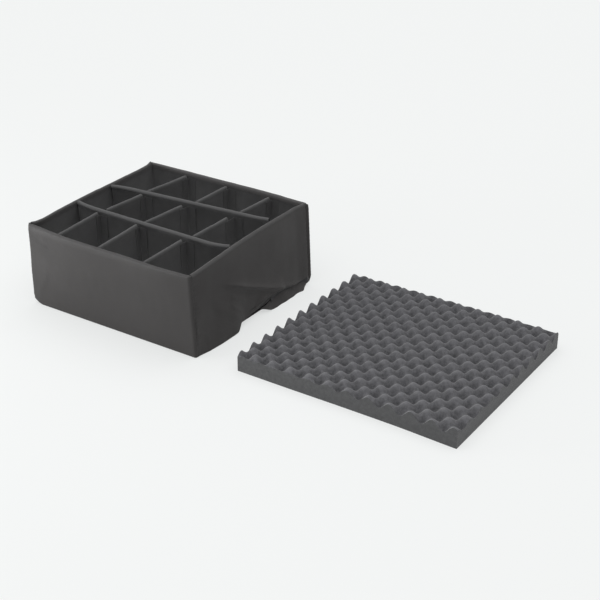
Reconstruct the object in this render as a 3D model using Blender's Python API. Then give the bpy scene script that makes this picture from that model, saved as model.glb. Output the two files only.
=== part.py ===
"""Padded camera insert for a hard case: an open nylon tray split by lift-out padded dividers, and the
egg-crate foam sheet that goes in the lid of the case above it.

Metres, +Z up. The origin is the centre of the tray's underside. +X runs along the front wall towards
the foam sheet, and +Y from the front wall to the back wall.
"""

import math

import bmesh
import bpy
from mathutils import Matrix, Vector

# Tray, outside
TRAY_WIDTH = 0.560
TRAY_DEPTH = 0.530
TRAY_HEIGHT = 0.240
RIM_TUCK = 0.024  # how far the right wall's rim leans in where it meets the back wall

# Layers of the walls and of the base
NYLON = 0.0012
LINING = 0.0014
WALL_FOAM = 0.0080
BASE_FOAM = 0.0080
BASE_BOARD = 0.0025
FIT_GAP = 0.0003  # left between pieces that touch

# Tape folded over the rim of each wall
RIM_OUTER_LEG = 0.008
RIM_INNER_LEG = 0.015

# Recess at the foot of the right wall, which clears the case's wheel and handle housing
RECESS_FRONT = 0.192  # from the tray's front
RECESS_LENGTH = 0.152
RECESS_DEPTH = 0.018
RECESS_HEIGHT = 0.030
GUSSET = 0.003
HEM_FRONT = 0.015  # height of the cover's hem above the floor, at the recess's front
HEM_BACK = 0.023  # and at the back wall

# Long dividers, left wall to right wall
LONG_FOAM = 0.010
LONG_BELOW_RIM = 0.004
LONG_TAPE_LEG = 0.014  # how far the folded tape reaches down each face
LONG_END_GAP = 0.005
CURL_LENGTH = 0.060  # length of the curled stretch at each end

# Short dividers, front to back across a row
SHORT_FOAM = 0.0075
SHORT_BELOW_RIM = 0.011

# Hook tabs sewn to the divider ends
TAB = 0.0014
TAB_LAP = 0.014  # sewn length on the divider's face
TAB_FLANGE = 0.025  # length that grips the wall
TAB_REACH = 0.030  # the widest space between a divider's end and what it meets

# Egg-crate foam sheet
SHEET_WIDTH = 0.624
SHEET_DEPTH = 0.562
SHEET_SIDE_GAP = 0.125  # from the tray's right face to the sheet
SHEET_SETBACK = 0.012  # from the tray's front face to the sheet's front edge
CRATE_PITCH = 0.055
PEAK_HEIGHT = 0.053
VALLEY_HEIGHT = 0.027

# Long dividers: the places of the left and right end, as shares of the depth inside the walls, then
# how far each end curls off the straight line, as shares of the curled stretch.
LONG_SHARES = {
    "front": (0.352, 0.338, 0.17, 0.26),
    "back": (0.673, 0.763, -0.18, 0.07),
}
# Short dividers: the places of the near and far end, as shares of the width inside the walls, then
# the space left at each end, as shares of the tab's reach.
SHORT_SHARES = {
    "front_left": (0.170, 0.145, 0.17, 0.17),
    "front_middle": (0.436, 0.411, 0.17, 0.17),
    "front_right": (0.720, 0.714, 0.17, 0.45),
    "middle_left": (0.158, 0.181, 0.40, 0.17),
    "middle_middle": (0.431, 0.451, 0.20, 0.60),
    "middle_right": (0.742, 0.740, 0.25, 0.95),
    "back_left": (0.170, 0.206, 0.30, 0.17),
    "back_middle": (0.482, 0.485, 0.30, 0.17),
    "back_right": (0.748, 0.762, 0.30, 0.17),
}
CRATE_PHASE_SHARES = (0.40, 0.82)  # of the pitch, from the sheet's left and front edge to a peak
MITRE_LIMIT_SHARE = 0.2
ROUND_STEPS = 4
CURL_STEPS = 5
LEAN_STEPS = 8

# Worked out from the sizes above
WALL = NYLON + FIT_GAP + WALL_FOAM + FIT_GAP + LINING
HALF_WIDTH = TRAY_WIDTH / 2
HALF_DEPTH = TRAY_DEPTH / 2
INNER_X = HALF_WIDTH - WALL
INNER_Y = HALF_DEPTH - WALL
SIDE_END = INNER_Y - FIT_GAP  # the side walls stand between the front and the back wall
WALL_FOOT = NYLON + FIT_GAP
COVER_TOP = TRAY_HEIGHT - RIM_OUTER_LEG - FIT_GAP
FOAM_TOP = TRAY_HEIGHT - NYLON - FIT_GAP
LINING_TOP = TRAY_HEIGHT - RIM_INNER_LEG - FIT_GAP
BOARD_TOP = WALL_FOOT + BASE_BOARD
BASE_FOAM_FOOT = BOARD_TOP + FIT_GAP
FLOOR_FOOT = BASE_FOAM_FOOT + BASE_FOAM + FIT_GAP
FLOOR_TOP = FLOOR_FOOT + LINING
DIVIDER_FOOT = FLOOR_TOP + FIT_GAP
LONG_TOP = TRAY_HEIGHT - LONG_BELOW_RIM
LONG_HALF = LONG_FOAM / 2 + FIT_GAP + NYLON
SHORT_TOP = TRAY_HEIGHT - SHORT_BELOW_RIM
RECESS_START = RECESS_FRONT - HALF_DEPTH
RECESS_END = RECESS_START + RECESS_LENGTH
RECESS_INNER_X = HALF_WIDTH - RECESS_DEPTH
GUSSET_INNER_X = RECESS_INNER_X - GUSSET
GUSSET_TOP = RECESS_HEIGHT + GUSSET

# How far each layer's two faces lie inside a wall's outer face
COVER_LAYER = (0.0, NYLON)
FOAM_LAYER = (NYLON + FIT_GAP, NYLON + FIT_GAP + WALL_FOAM)
LINING_LAYER = (WALL - LINING, WALL)


def clear_scene():
    for old in list(bpy.data.objects):
        bpy.data.objects.remove(old)


def fabric(name, colour, roughness):
    material = bpy.data.materials.new(name)
    material.use_nodes = True
    shader = material.node_tree.nodes["Principled BSDF"]
    shader.inputs["Base Color"].default_value = (*colour, 1.0)
    shader.inputs["Roughness"].default_value = roughness
    shader.inputs["Metallic"].default_value = 0.0
    return material


def nylon(name):
    return fabric(f"{name}_nylon", (0.070, 0.066, 0.065), 0.55)


def folded_tape(name):
    return fabric(f"{name}_tape", (0.110, 0.110, 0.110), 0.65)


def loop_cloth(name):
    return fabric(f"{name}_loop", (0.026, 0.026, 0.027), 0.95)


def hook_tape(name):
    return fabric(f"{name}_hook", (0.018, 0.018, 0.018), 0.75)


def closed_cell_foam(name):
    return fabric(f"{name}_foam", (0.045, 0.045, 0.048), 0.90)


def stiff_board(name):
    return fabric(f"{name}_board", (0.030, 0.030, 0.032), 0.45)


def open_cell_foam(name):
    return fabric(f"{name}_crate", (0.075, 0.075, 0.082), 0.95)


def add_object(name, build, look):
    """A new object whose closed mesh is filled by build(bmesh) and whose faces point outwards."""
    work = bmesh.new()
    build(work)
    bmesh.ops.recalc_face_normals(work, faces=work.faces)
    if work.calc_volume(signed=True) < 0:
        bmesh.ops.reverse_faces(work, faces=work.faces)
    mesh = bpy.data.meshes.new(name)
    work.to_mesh(mesh)
    work.free()
    mesh.materials.append(look(name))
    made = bpy.data.objects.new(name, mesh)
    bpy.context.scene.collection.objects.link(made)
    return made


def carry(name, point, pieces):
    """Hangs the pieces of a moving part on an empty that stands on its joint's axis."""
    carrier = bpy.data.objects.new(name, None)
    bpy.context.scene.collection.objects.link(carrier)
    carrier.location = point
    for piece in pieces:
        piece.parent = carrier
        piece.matrix_parent_inverse = Matrix.Translation(point).inverted()


def join_rings(work, rings):
    """Side faces between neighbouring rings of vertices."""
    for first, second in zip(rings, rings[1:]):
        for i in range(len(first)):
            j = (i + 1) % len(first)
            work.faces.new((first[i], first[j], second[j], second[i]))


def prism(name, outline, low, high, look):
    """A plan outline extruded from low to high."""

    def build(work):
        rings = [[work.verts.new((x, y, z)) for x, y in outline] for z in (low, high)]
        join_rings(work, rings)
        work.faces.new(rings[0])
        work.faces.new(rings[1])

    return add_object(name, build, look)


def side_steps(path):
    """For each point of a plan path, the step that moves it one unit to its right, mitred."""
    runs = [(after - before).normalized() for before, after in zip(path, path[1:])]
    steps = []
    for before, after in zip([runs[0], *runs], [*runs, runs[-1]]):
        right_before = Vector((before.y, -before.x))
        right_after = Vector((after.y, -after.x))
        mitre = (right_before + right_after).normalized()
        steps.append(mitre / max(mitre.dot(right_after), MITRE_LIMIT_SHARE))
    return steps


def sweep(name, path, section, look, lean=None):
    """A closed section of (right, z) points carried along a plan path, then leant over."""
    points = [Vector(point) for point in path]
    steps = side_steps(points)

    def build(work):
        rings = []
        for point, step in zip(points, steps):
            ring = []
            for right, z in section:
                place = point + step * right
                shift = lean(place.y, z) if lean else 0.0
                ring.append(work.verts.new((place.x - shift, place.y, z)))
            rings.append(ring)
        join_rings(work, rings)
        work.faces.new(rings[0])
        work.faces.new(rings[-1])

    return add_object(name, build, look)


def slab_section(left, right, low, high):
    return [(left, low), (right, low), (right, high), (left, high)]


def rounded_section(half, low, high):
    """A slab's section with a half-round top edge."""
    points = [(-half, low), (half, low)]
    for step in range(ROUND_STEPS + 1):
        angle = math.pi * step / ROUND_STEPS
        points.append((half * math.cos(angle), high - half + half * math.sin(angle)))
    return points


def folded_section(half, tape, top, left_leg, right_leg):
    """A tape folded over an edge: a leg down each side and the top between them."""
    return [
        (half, top - right_leg),
        (half, top),
        (-half, top),
        (-half, top - left_leg),
        (tape - half, top - left_leg),
        (tape - half, top - tape),
        (half - tape, top - tape),
        (half - tape, top - right_leg),
    ]


def rim_lean(y, z):
    """How far the right wall leans in: more towards the rim and towards the back wall."""
    return RIM_TUCK * (z / TRAY_HEIGHT) * (y + SIDE_END) / (2 * SIDE_END)


def rim_section():
    """The rim's tape seen from the outer face: a leg over the cover and a leg over the lining."""
    return folded_section(WALL / 2, NYLON, TRAY_HEIGHT, RIM_INNER_LEG, RIM_OUTER_LEG)


def layer_section(layer, high):
    """A wall layer's section, measured to the right of the wall's outer face line."""
    outer, inner = layer
    return slab_section(-inner, -outer, WALL_FOOT, high)


def end_wall(name, turn):
    """The front wall, or with a half turn the back wall. Both run the tray's full width."""
    rotation = Matrix.Rotation(turn, 2)

    def turned(*points):
        return [rotation @ Vector(point) for point in points]

    wrap_y = INNER_Y + LINING + FIT_GAP
    wrapped = turned((-HALF_WIDTH, -wrap_y), (-HALF_WIDTH, -HALF_DEPTH))
    wrapped += turned((HALF_WIDTH, -HALF_DEPTH), (HALF_WIDTH, -wrap_y))
    end_x = HALF_WIDTH - NYLON - FIT_GAP
    inside = turned((-end_x, -HALF_DEPTH), (end_x, -HALF_DEPTH))
    middle = turned((-HALF_WIDTH, WALL / 2 - HALF_DEPTH), (HALF_WIDTH, WALL / 2 - HALF_DEPTH))
    sweep(f"{name}_cover", wrapped, layer_section(COVER_LAYER, COVER_TOP), nylon)
    sweep(f"{name}_foam", inside, layer_section(FOAM_LAYER, FOAM_TOP), closed_cell_foam)
    sweep(f"{name}_lining", inside, layer_section(LINING_LAYER, LINING_TOP), loop_cloth)
    sweep(f"{name}_rim_binding", middle, rim_section(), folded_tape)


def left_wall():
    face = [(-HALF_WIDTH, SIDE_END), (-HALF_WIDTH, -SIDE_END)]
    middle = [(x + WALL / 2, y) for x, y in face]
    sweep("left_cover", face, layer_section(COVER_LAYER, COVER_TOP), nylon)
    sweep("left_foam", face, layer_section(FOAM_LAYER, FOAM_TOP), closed_cell_foam)
    sweep("left_lining", face, layer_section(LINING_LAYER, LINING_TOP), loop_cloth)
    sweep("left_rim_binding", middle, rim_section(), folded_tape)


def leaning_plate(name, layer, columns, look):
    """A layer of the right wall, built in upright strips so that every layer leans alike.

    Each column is (y, heights of the strip before it, heights of the strip after it). The two lists
    differ where the plate's foot steps up or down.
    """

    def build(work):
        corners = {}

        def corner(side, y, z):
            if (side, y, z) not in corners:
                x = HALF_WIDTH - layer[side] - rim_lean(y, z)
                corners[side, y, z] = work.verts.new((x, y, z))
            return corners[side, y, z]

        for (y0, _, left), (y1, right, _) in zip(columns, columns[1:]):
            for side in (0, 1):
                for z0, z1 in zip(right, right[1:]):
                    triangle = (corner(side, y0, left[0]), corner(side, y1, z0), corner(side, y1, z1))
                    work.faces.new(triangle)
                for z0, z1 in zip(left, left[1:]):
                    triangle = (corner(side, y0, z0), corner(side, y1, right[-1]), corner(side, y0, z1))
                    work.faces.new(triangle)
        outline = []
        for y, before, after in columns:
            outline.append((y, before[0]))
            if after[0] != before[0]:
                outline.append((y, after[0]))
        for y, before, _ in reversed(columns):
            outline.append((y, before[-1]))
        for start, stop in zip(outline, [*outline[1:], outline[0]]):
            ring = (corner(0, *start), corner(0, *stop), corner(1, *stop), corner(1, *start))
            work.faces.new(ring)

    return add_object(name, build, look)


def even_places(start, stop):
    return [start + (stop - start) * step / LEAN_STEPS for step in range(LEAN_STEPS + 1)]


def notched_columns(notch_start, notch_stop, notch_top, high):
    """Columns of a right-wall layer whose foot is cut up to notch_top between two places."""
    columns = []
    for y in even_places(-SIDE_END, SIDE_END):
        if y < notch_start or y > notch_stop:
            columns.append((y, [WALL_FOOT, high], [WALL_FOOT, high]))
        else:
            columns.append((y, [notch_top, high], [notch_top, high]))
    columns.append((notch_start, [WALL_FOOT, notch_top, high], [notch_top, high]))
    columns.append((notch_stop, [notch_top, high], [WALL_FOOT, notch_top, high]))
    return sorted(columns)


def hem_height(y):
    """The cover's hem: it rises along the recess and drops a little on to the back wall."""
    if y < RECESS_END:
        share = (y - RECESS_START) / RECESS_LENGTH
        return HEM_FRONT + (RECESS_HEIGHT - HEM_FRONT) * share
    share = (y - RECESS_END) / (SIDE_END - RECESS_END)
    return RECESS_HEIGHT + (HEM_BACK - RECESS_HEIGHT) * share


def cover_columns():
    columns = []
    for y in [*even_places(-SIDE_END, SIDE_END), RECESS_END]:
        foot = WALL_FOOT if y < RECESS_START else hem_height(y)
        columns.append((y, [foot, COVER_TOP], [foot, COVER_TOP]))
    hem = hem_height(RECESS_START)
    columns.append((RECESS_START, [WALL_FOOT, hem, COVER_TOP], [hem, COVER_TOP]))
    return sorted(columns)


def skirt_columns():
    columns = []
    for y in even_places(RECESS_END, SIDE_END):
        heights = [WALL_FOOT, hem_height(y) - FIT_GAP]
        columns.append((y, heights, heights))
    return columns


def right_wall():
    """The right wall: cut away over the recess, its rim leaning in towards the back wall."""
    notch = (RECESS_START - GUSSET - FIT_GAP, RECESS_END + GUSSET + FIT_GAP, GUSSET_TOP + FIT_GAP)
    leaning_plate("right_cover", COVER_LAYER, cover_columns(), nylon)
    leaning_plate("right_skirt", COVER_LAYER, skirt_columns(), nylon)
    leaning_plate("right_foam", FOAM_LAYER, notched_columns(*notch, FOAM_TOP), closed_cell_foam)
    leaning_plate("right_lining", LINING_LAYER, notched_columns(*notch, LINING_TOP), loop_cloth)
    middle = [(HALF_WIDTH - WALL / 2, y) for y in even_places(-SIDE_END, SIDE_END)]
    sweep("right_rim_binding", middle, rim_section(), folded_tape, rim_lean)


def recess_gusset():
    """The bump over the recess: a thin box, open downwards and on its outer side."""

    def opening(x, margin, mouth):
        start = RECESS_START - margin
        stop = RECESS_END + margin
        high = RECESS_HEIGHT + margin
        places = [(start, WALL_FOOT), (stop, WALL_FOOT), (stop, high), (start, high)]
        return [(x - (rim_lean(y, z) if mouth else 0.0), y, z) for y, z in places]

    def build(work):
        mouth_x = HALF_WIDTH - NYLON - FIT_GAP
        back = [work.verts.new(p) for p in opening(GUSSET_INNER_X, GUSSET, False)]
        back_mouth = [work.verts.new(p) for p in opening(mouth_x, GUSSET, True)]
        hollow = [work.verts.new(p) for p in opening(RECESS_INNER_X, 0.0, False)]
        hollow_mouth = [work.verts.new(p) for p in opening(mouth_x, 0.0, True)]
        work.faces.new(back)
        work.faces.new(hollow)
        for i, j in ((1, 2), (2, 3), (3, 0)):
            work.faces.new((back[i], back[j], back_mouth[j], back_mouth[i]))
            work.faces.new((hollow[i], hollow[j], hollow_mouth[j], hollow_mouth[i]))
            work.faces.new((back_mouth[i], back_mouth[j], hollow_mouth[j], hollow_mouth[i]))
        foot = [back[0], back[1], back_mouth[1], hollow_mouth[1]]
        foot += [hollow[1], hollow[0], hollow_mouth[0], back_mouth[0]]
        work.faces.new(foot)

    add_object("recess_gusset", build, nylon)


def base_outline(left_x, right_x, half_y, notch_x, margin):
    """A rectangle with the recess cut out of its right side."""
    start = RECESS_START - margin
    stop = RECESS_END + margin
    front = [(left_x, -half_y), (right_x, -half_y), (right_x, start), (notch_x, start)]
    return [*front, (notch_x, stop), (right_x, stop), (right_x, half_y), (left_x, half_y)]


def base():
    """The base: nylon underneath, then a stiff board, foam and the loop floor."""
    under = base_outline(-HALF_WIDTH, HALF_WIDTH, HALF_DEPTH, RECESS_INNER_X, 0.0)
    left_x = FIT_GAP - INNER_X
    right_x = INNER_X - FIT_GAP - rim_lean(SIDE_END, FLOOR_TOP)
    inside = base_outline(left_x, right_x, SIDE_END, GUSSET_INNER_X - FIT_GAP, GUSSET + FIT_GAP)
    prism("base_cover", under, 0.0, NYLON, nylon)
    prism("base_board", inside, WALL_FOOT, BOARD_TOP, stiff_board)
    prism("base_foam", inside, BASE_FOAM_FOOT, BASE_FOAM_FOOT + BASE_FOAM, closed_cell_foam)
    prism("floor_lining", inside, FLOOR_FOOT, FLOOR_TOP, loop_cloth)


def hook_tab(name, end, heading, half, wall, heights):
    """A hook tab, sewn to the divider's face near its end and turned along the wall that it grips.

    end is the divider's end, heading the way out of it, half half its thickness, and wall a point and
    a direction of the wall's face. The tab lies on the side that the direction points to.
    """
    wall_point, along = wall
    side = Vector((heading.y, -heading.x))
    if side.dot(along) < 0:
        side = -side
    inward = Vector((along.y, -along.x))
    if inward.dot(heading) > 0:
        inward = -inward
    sewn = end - heading * TAB_LAP + side * (half + FIT_GAP + TAB / 2)
    seat = wall_point + inward * (FIT_GAP + TAB / 2)
    corner = sewn + heading * ((seat - sewn).dot(inward) / heading.dot(inward))
    path = [sewn, corner, corner + along * TAB_FLANGE]
    return sweep(name, path, slab_section(-TAB / 2, TAB / 2, *heights), hook_tape)


def long_ends(place):
    """Where a long divider's straight line meets the left and the right wall."""
    left_share, right_share = LONG_SHARES[place][:2]
    left = Vector((-INNER_X, INNER_Y * (2 * left_share - 1)))
    right = Vector((INNER_X, INNER_Y * (2 * right_share - 1)))
    return left, right


def long_path(place):
    """A long divider's centre line: straight, with both ends curling off the line."""
    left, right = long_ends(place)
    along = (right - left).normalized()
    across = Vector((-along.y, along.x))
    left_curl, right_curl = LONG_SHARES[place][2:]
    room = max(rim_lean(SIDE_END, TRAY_HEIGHT) * (right.y + SIDE_END) / (2 * SIDE_END), 0.0)
    room = max(room, INNER_X - GUSSET_INNER_X)
    start = left + along * LONG_END_GAP
    finish = right - along * (room + LONG_END_GAP)
    path = []
    for step in range(CURL_STEPS):
        share = 1 - step / CURL_STEPS
        path.append(start + along * CURL_LENGTH * (1 - share) + across * CURL_LENGTH * left_curl * share**2)
    path.append(start + along * CURL_LENGTH)
    path.append(finish - along * CURL_LENGTH)
    for step in range(1, CURL_STEPS + 1):
        share = step / CURL_STEPS
        path.append(finish - along * CURL_LENGTH * (1 - share) + across * CURL_LENGTH * right_curl * share**2)
    return path


def long_divider(place):
    path = long_path(place)
    name = f"long_divider_{place}"
    foam = LONG_FOAM / 2
    pad = slab_section(-foam, foam, DIVIDER_FOOT, LONG_TOP - NYLON - FIT_GAP)
    tape = folded_section(LONG_HALF, NYLON, LONG_TOP, LONG_TAPE_LEG, LONG_TAPE_LEG)
    tab_top = LONG_TOP - LONG_TAPE_LEG - FIT_GAP
    left_wall_face = (Vector((-INNER_X, 0.0)), Vector((0.0, 1.0)))
    rim_x = INNER_X - rim_lean(path[-1].y, TRAY_HEIGHT)
    slope = Vector((RIM_TUCK, -2 * SIDE_END)).normalized()
    right_wall_face = (Vector((rim_x, path[-1].y)), slope)
    left_heading = (path[0] - path[1]).normalized()
    right_heading = (path[-1] - path[-2]).normalized()
    left_heights = (DIVIDER_FOOT, tab_top)
    right_heights = (GUSSET_TOP + FIT_GAP, tab_top)
    pieces = [
        sweep(f"{name}_pad", path, pad, loop_cloth),
        sweep(f"{name}_tape", path, tape, folded_tape),
        hook_tab(f"{name}_left_tab", path[0], left_heading, foam, left_wall_face, left_heights),
        hook_tab(f"{name}_right_tab", path[-1], right_heading, foam, right_wall_face, right_heights),
    ]
    middle = (path[0] + path[-1]) / 2
    carry(f"{name}_carrier", (*middle, DIVIDER_FOOT), pieces)


def row_faces(row):
    """What a row's dividers meet at their near and far ends: a point and a direction for each."""
    level = Vector((1.0, 0.0))
    front_wall = (Vector((0.0, -INNER_Y)), level)
    back_wall = (Vector((0.0, INNER_Y)), level)
    faces = {}
    for place in LONG_SHARES:
        left, right = long_ends(place)
        along = (right - left).normalized()
        across = Vector((-along.y, along.x)) * LONG_HALF
        faces[place] = ((left - across, along), (left + across, along))
    return {
        "front": (front_wall, faces["front"][0]),
        "middle": (faces["front"][1], faces["back"][0]),
        "back": (faces["back"][1], back_wall),
    }[row]


def crossing(face, x):
    """The point of a face's line at this x."""
    point, along = face
    return point + along * ((x - point.x) / along.x)


def short_divider(place):
    near_face, far_face = row_faces(place.split("_")[0])
    near_share, far_share, near_space, far_space = SHORT_SHARES[place]
    near = crossing(near_face, INNER_X * (2 * near_share - 1))
    far = crossing(far_face, INNER_X * (2 * far_share - 1))
    heading = (far - near).normalized()
    start = near + heading * (TAB_REACH * near_space)
    finish = far - heading * (TAB_REACH * far_space)
    half = SHORT_FOAM / 2
    name = f"short_divider_{place}"
    pad = rounded_section(half, DIVIDER_FOOT, SHORT_TOP)
    heights = (DIVIDER_FOOT, SHORT_TOP - SHORT_FOAM)
    pieces = [
        sweep(f"{name}_pad", [start, finish], pad, loop_cloth),
        hook_tab(f"{name}_near_tab", start, -heading, half, near_face, heights),
        hook_tab(f"{name}_far_tab", finish, heading, half, far_face, heights),
    ]
    middle = (start + finish) / 2
    carry(f"{name}_carrier", (*middle, DIVIDER_FOOT), pieces)


def crate_lines(length, phase_share):
    """Places across the sheet at every half pitch, on the peaks and valleys, with both edges."""
    half = CRATE_PITCH / 2
    place = math.fmod(CRATE_PITCH * phase_share, half)
    lines = [-length / 2]
    while place < length - FIT_GAP:
        if place > FIT_GAP:
            lines.append(place - length / 2)
        place += half
    return [*lines, length / 2]


def crate_height(x, y):
    turn_x = math.tau * ((x + SHEET_WIDTH / 2) / CRATE_PITCH - CRATE_PHASE_SHARES[0])
    turn_y = math.tau * ((y + SHEET_DEPTH / 2) / CRATE_PITCH - CRATE_PHASE_SHARES[1])
    middle = (PEAK_HEIGHT + VALLEY_HEIGHT) / 2
    swing = (PEAK_HEIGHT - VALLEY_HEIGHT) / 2
    return middle + swing * math.cos(turn_x) * math.cos(turn_y)


def foam_sheet():
    """The egg-crate sheet: flat below, with peaks and valleys in a chequered grid above."""
    columns = crate_lines(SHEET_WIDTH, CRATE_PHASE_SHARES[0])
    rows = crate_lines(SHEET_DEPTH, CRATE_PHASE_SHARES[1])

    def crest(work, x, y):
        return work.verts.new((x, y, crate_height(x, y)))

    def build(work):
        top = [[crest(work, x, y) for x in columns] for y in rows]
        for j in range(len(rows) - 1):
            for i in range(len(columns) - 1):
                centre = crest(work, (columns[i] + columns[i + 1]) / 2, (rows[j] + rows[j + 1]) / 2)
                ring = [top[j][i], top[j][i + 1], top[j + 1][i + 1], top[j + 1][i]]
                for k in range(4):
                    work.faces.new((ring[k], ring[(k + 1) % 4], centre))
        border = top[0][:-1] + [row[-1] for row in top[:-1]]
        border += top[-1][:0:-1] + [row[0] for row in top[:0:-1]]
        foot = [work.verts.new((corner.co.x, corner.co.y, 0.0)) for corner in border]
        join_rings(work, [border, foot])
        work.faces.new(foot)

    sheet = add_object("lid_foam_sheet", build, open_cell_foam)
    sheet_x = HALF_WIDTH + SHEET_SIDE_GAP + SHEET_WIDTH / 2
    sheet_y = SHEET_SETBACK - HALF_DEPTH + SHEET_DEPTH / 2
    sheet.location = (sheet_x, sheet_y, 0.0)


def main():
    clear_scene()
    base()
    end_wall("front", 0.0)
    end_wall("back", math.pi)
    left_wall()
    right_wall()
    recess_gusset()
    for place in LONG_SHARES:
        long_divider(place)
    for place in SHORT_SHARES:
        short_divider(place)
    foam_sheet()


main()
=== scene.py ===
"""The camera insert for a hard case in a pale studio: an open padded tray split by lift-out dividers,
and the egg-crate foam sheet that goes in the lid above it.

Metres, +Z up. The origin is the centre of the tray's underside. +X runs along the front wall towards
the foam sheet, and +Y from the front wall to the back wall.
"""

import math

import bmesh
import bpy
import numpy as np
from mathutils import Matrix, Vector

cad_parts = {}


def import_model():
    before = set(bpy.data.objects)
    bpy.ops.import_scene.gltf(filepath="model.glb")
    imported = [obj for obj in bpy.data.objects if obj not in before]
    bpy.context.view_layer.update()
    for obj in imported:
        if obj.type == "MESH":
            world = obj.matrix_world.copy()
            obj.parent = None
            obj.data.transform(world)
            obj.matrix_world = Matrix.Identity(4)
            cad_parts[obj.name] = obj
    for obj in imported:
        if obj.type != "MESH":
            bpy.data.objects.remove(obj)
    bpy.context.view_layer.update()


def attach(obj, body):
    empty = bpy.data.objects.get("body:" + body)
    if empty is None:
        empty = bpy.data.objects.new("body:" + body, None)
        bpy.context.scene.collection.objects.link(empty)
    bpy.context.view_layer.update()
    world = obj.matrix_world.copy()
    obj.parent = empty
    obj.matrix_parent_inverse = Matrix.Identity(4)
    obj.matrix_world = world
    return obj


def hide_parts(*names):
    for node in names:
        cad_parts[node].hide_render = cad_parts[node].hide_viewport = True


# Camera
CAMERA_PLACE = (2.1556, -2.5884, 1.6851)
CAMERA_HEADING = math.radians(123.72)  # turned from +X towards +Y
CAMERA_PITCH = math.radians(26.98)  # down from the horizon
CAMERA_ROLL = math.radians(0.23)
FOCAL_PIXELS = 1322.7
PICTURE_PIXELS = 600
SENSOR_WIDTH = 36.0

# Light and floor
WORLD_LIGHT = 0.42
TOP_STRENGTH = 1.6
TOP_SPREAD = math.radians(95)
# The key lamp is a low, wide panel to the front left
KEY_POWER = 21.0
KEY_PLACE = (-1.40, -1.60, 0.26)
KEY_AIM = (0.0, -0.265, 0.12)
KEY_WIDTH = 1.2
KEY_HEIGHT = 0.3
FLOOR_SIDE = 60.0
FLOOR_COLOUR = (0.58, 0.59, 0.59)
SEEN_FLOOR_COLOUR = (0.94, 0.955, 0.95)  # the floor's colour to the camera, paler than to the lamps
BACKDROP_COLOUR = (0.900, 0.914, 0.910)
BACKDROP_SHARE = 0.66  # how much of the floor that the camera sees is that plain colour

# Tray, outside, standing straight
TRAY_WIDTH = 0.560
TRAY_DEPTH = 0.530
TRAY_HEIGHT = 0.240
CORNER_ROUND = 0.008
FOOT_ROUND = 0.005
FOOT_LIFT = 0.0004

# Layers of the walls and of the base
NYLON = 0.0012
LINING = 0.0014
WALL_FOAM = 0.0080
BASE_FOAM = 0.0080
BASE_BOARD = 0.0025
FIT_GAP = 0.0003
RIM_OUTER_LEG = 0.0064
RIM_INNER_LEG = 0.013
TAPE_PROUD = 0.0005  # how far a tape stands off the cloth that it is sewn over
SEAM_DIP = 0.0012
FRONT_SEAM_DIP = 0.0002
SEAM_REACH = 0.0040

# How far the rims have moved from straight walls, and how much taller the back stands
RIM_BOW = 0.025
BACK_RISE = 0.003
BOW_SHARES = {
    "front": (0.00, 0.24, 0.54, 0.66, 0.68, 0.68, 0.62, 0.74, 0.82, 0.76, 0.52),
    "right": (0.12, 0.02, -0.20, -0.36, -0.58, -0.70, -0.80, -0.82, -0.82, -0.86, -0.92),
    "back": (0.80, 0.84, 0.88, 0.88, 0.88, 0.90, 0.94, 0.94, 0.94, 0.80, 0.70),
    "left": (0.08, 0.08, 0.34, 0.48, 0.58, 0.66, 0.62, 0.68, 0.72, 0.72, 1.05),
}
ROUNDING_SHARES = (-0.05, -0.025, 0.0, 0.025, 0.05)

# Three upright corners are pushed out: (side, end), then how far at the foot and at the rim
CORNER_PUSHES = {
    (1, -1): (0.0040, 0.0),
    (1, 1): (0.0085, 0.0080),
    (-1, -1): (0.0095, 0.0050),
}
CORNER_REACH = 0.060

# Two corners' feet are lifted off the floor: (side, end), then how far, and how far that reaches
# along the walls and up them
CORNER_LIFTS = {
    (1, 1): (0.011, 0.045, 0.060),
    (-1, -1): (0.013, 0.028, 0.050),
}
# The front left corner's foot is rounder than the others
BLUNT_FOOT = 0.018
BLUNT_RUN = 0.040

# The back cover's end stands out past the right wall
END_STAND_OUT = 0.0060
END_STRIP = 0.008
END_FOOT = 0.024

# Recess at the foot of the right wall, and the cover's raised hem over it
RECESS_FRONT = 0.192
RECESS_LENGTH = 0.152
RECESS_DEPTH = 0.018
RECESS_HEIGHT = 0.030
GUSSET = 0.003
HEM_HEIGHT = 0.032
HEM_FLARE = 0.0155
HEM_TUCK = 0.010
TUCK_CURVE = 1.3
FLARE_HEIGHT = 0.110
FLARE_CURVE = 1.7
# Shares of the tray's depth, front to back, with the share of each size above at that place
HEM_SHARES = {
    "place": (0.0, 0.035, 0.1, 0.2, 0.31, 0.335, 0.362, 0.382, 0.5, 0.62, 0.66, 0.71, 0.76, 0.84, 0.92, 1.0),
    "height": (0.0, 0.0, 0.0, 0.0, 0.0, 0.03, 0.22, 0.42, 0.42, 0.44, 0.72, 0.94, 1.0, 0.94, 0.80, 0.64),
    "crease": (0.0, 0.0, 0.0, 0.0, 0.0, 0.10, 0.36, 0.56, 0.74, 0.90, 0.98, 1.0, 1.0, 0.94, 0.80, 0.64),
    "flare": (0.0, 0.12, 0.70, 0.92, 0.90, 0.80, 0.55, 0.25, 0.0, 0.0, 0.0, 0.0, 0.0, 0.0, 0.0, 0.0),
    "tuck": (0.0, 0.0, 0.0, 0.0, 0.0, 0.1, 0.4, 0.8, 1.0, 1.0, 0.6, 0.1, 0.0, 0.0, 0.0, 0.0),
}

# Long dividers, left wall to right wall
LONG_FOAM = 0.010
LONG_TAPE_LEG = 0.0075
LONG_END_GAP = 0.0006
CURL_LENGTH = 0.060

# Short dividers, front to back across a row
SHORT_FOAM = 0.0095
SHORT_BELOW_RIM = 0.0045

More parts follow.
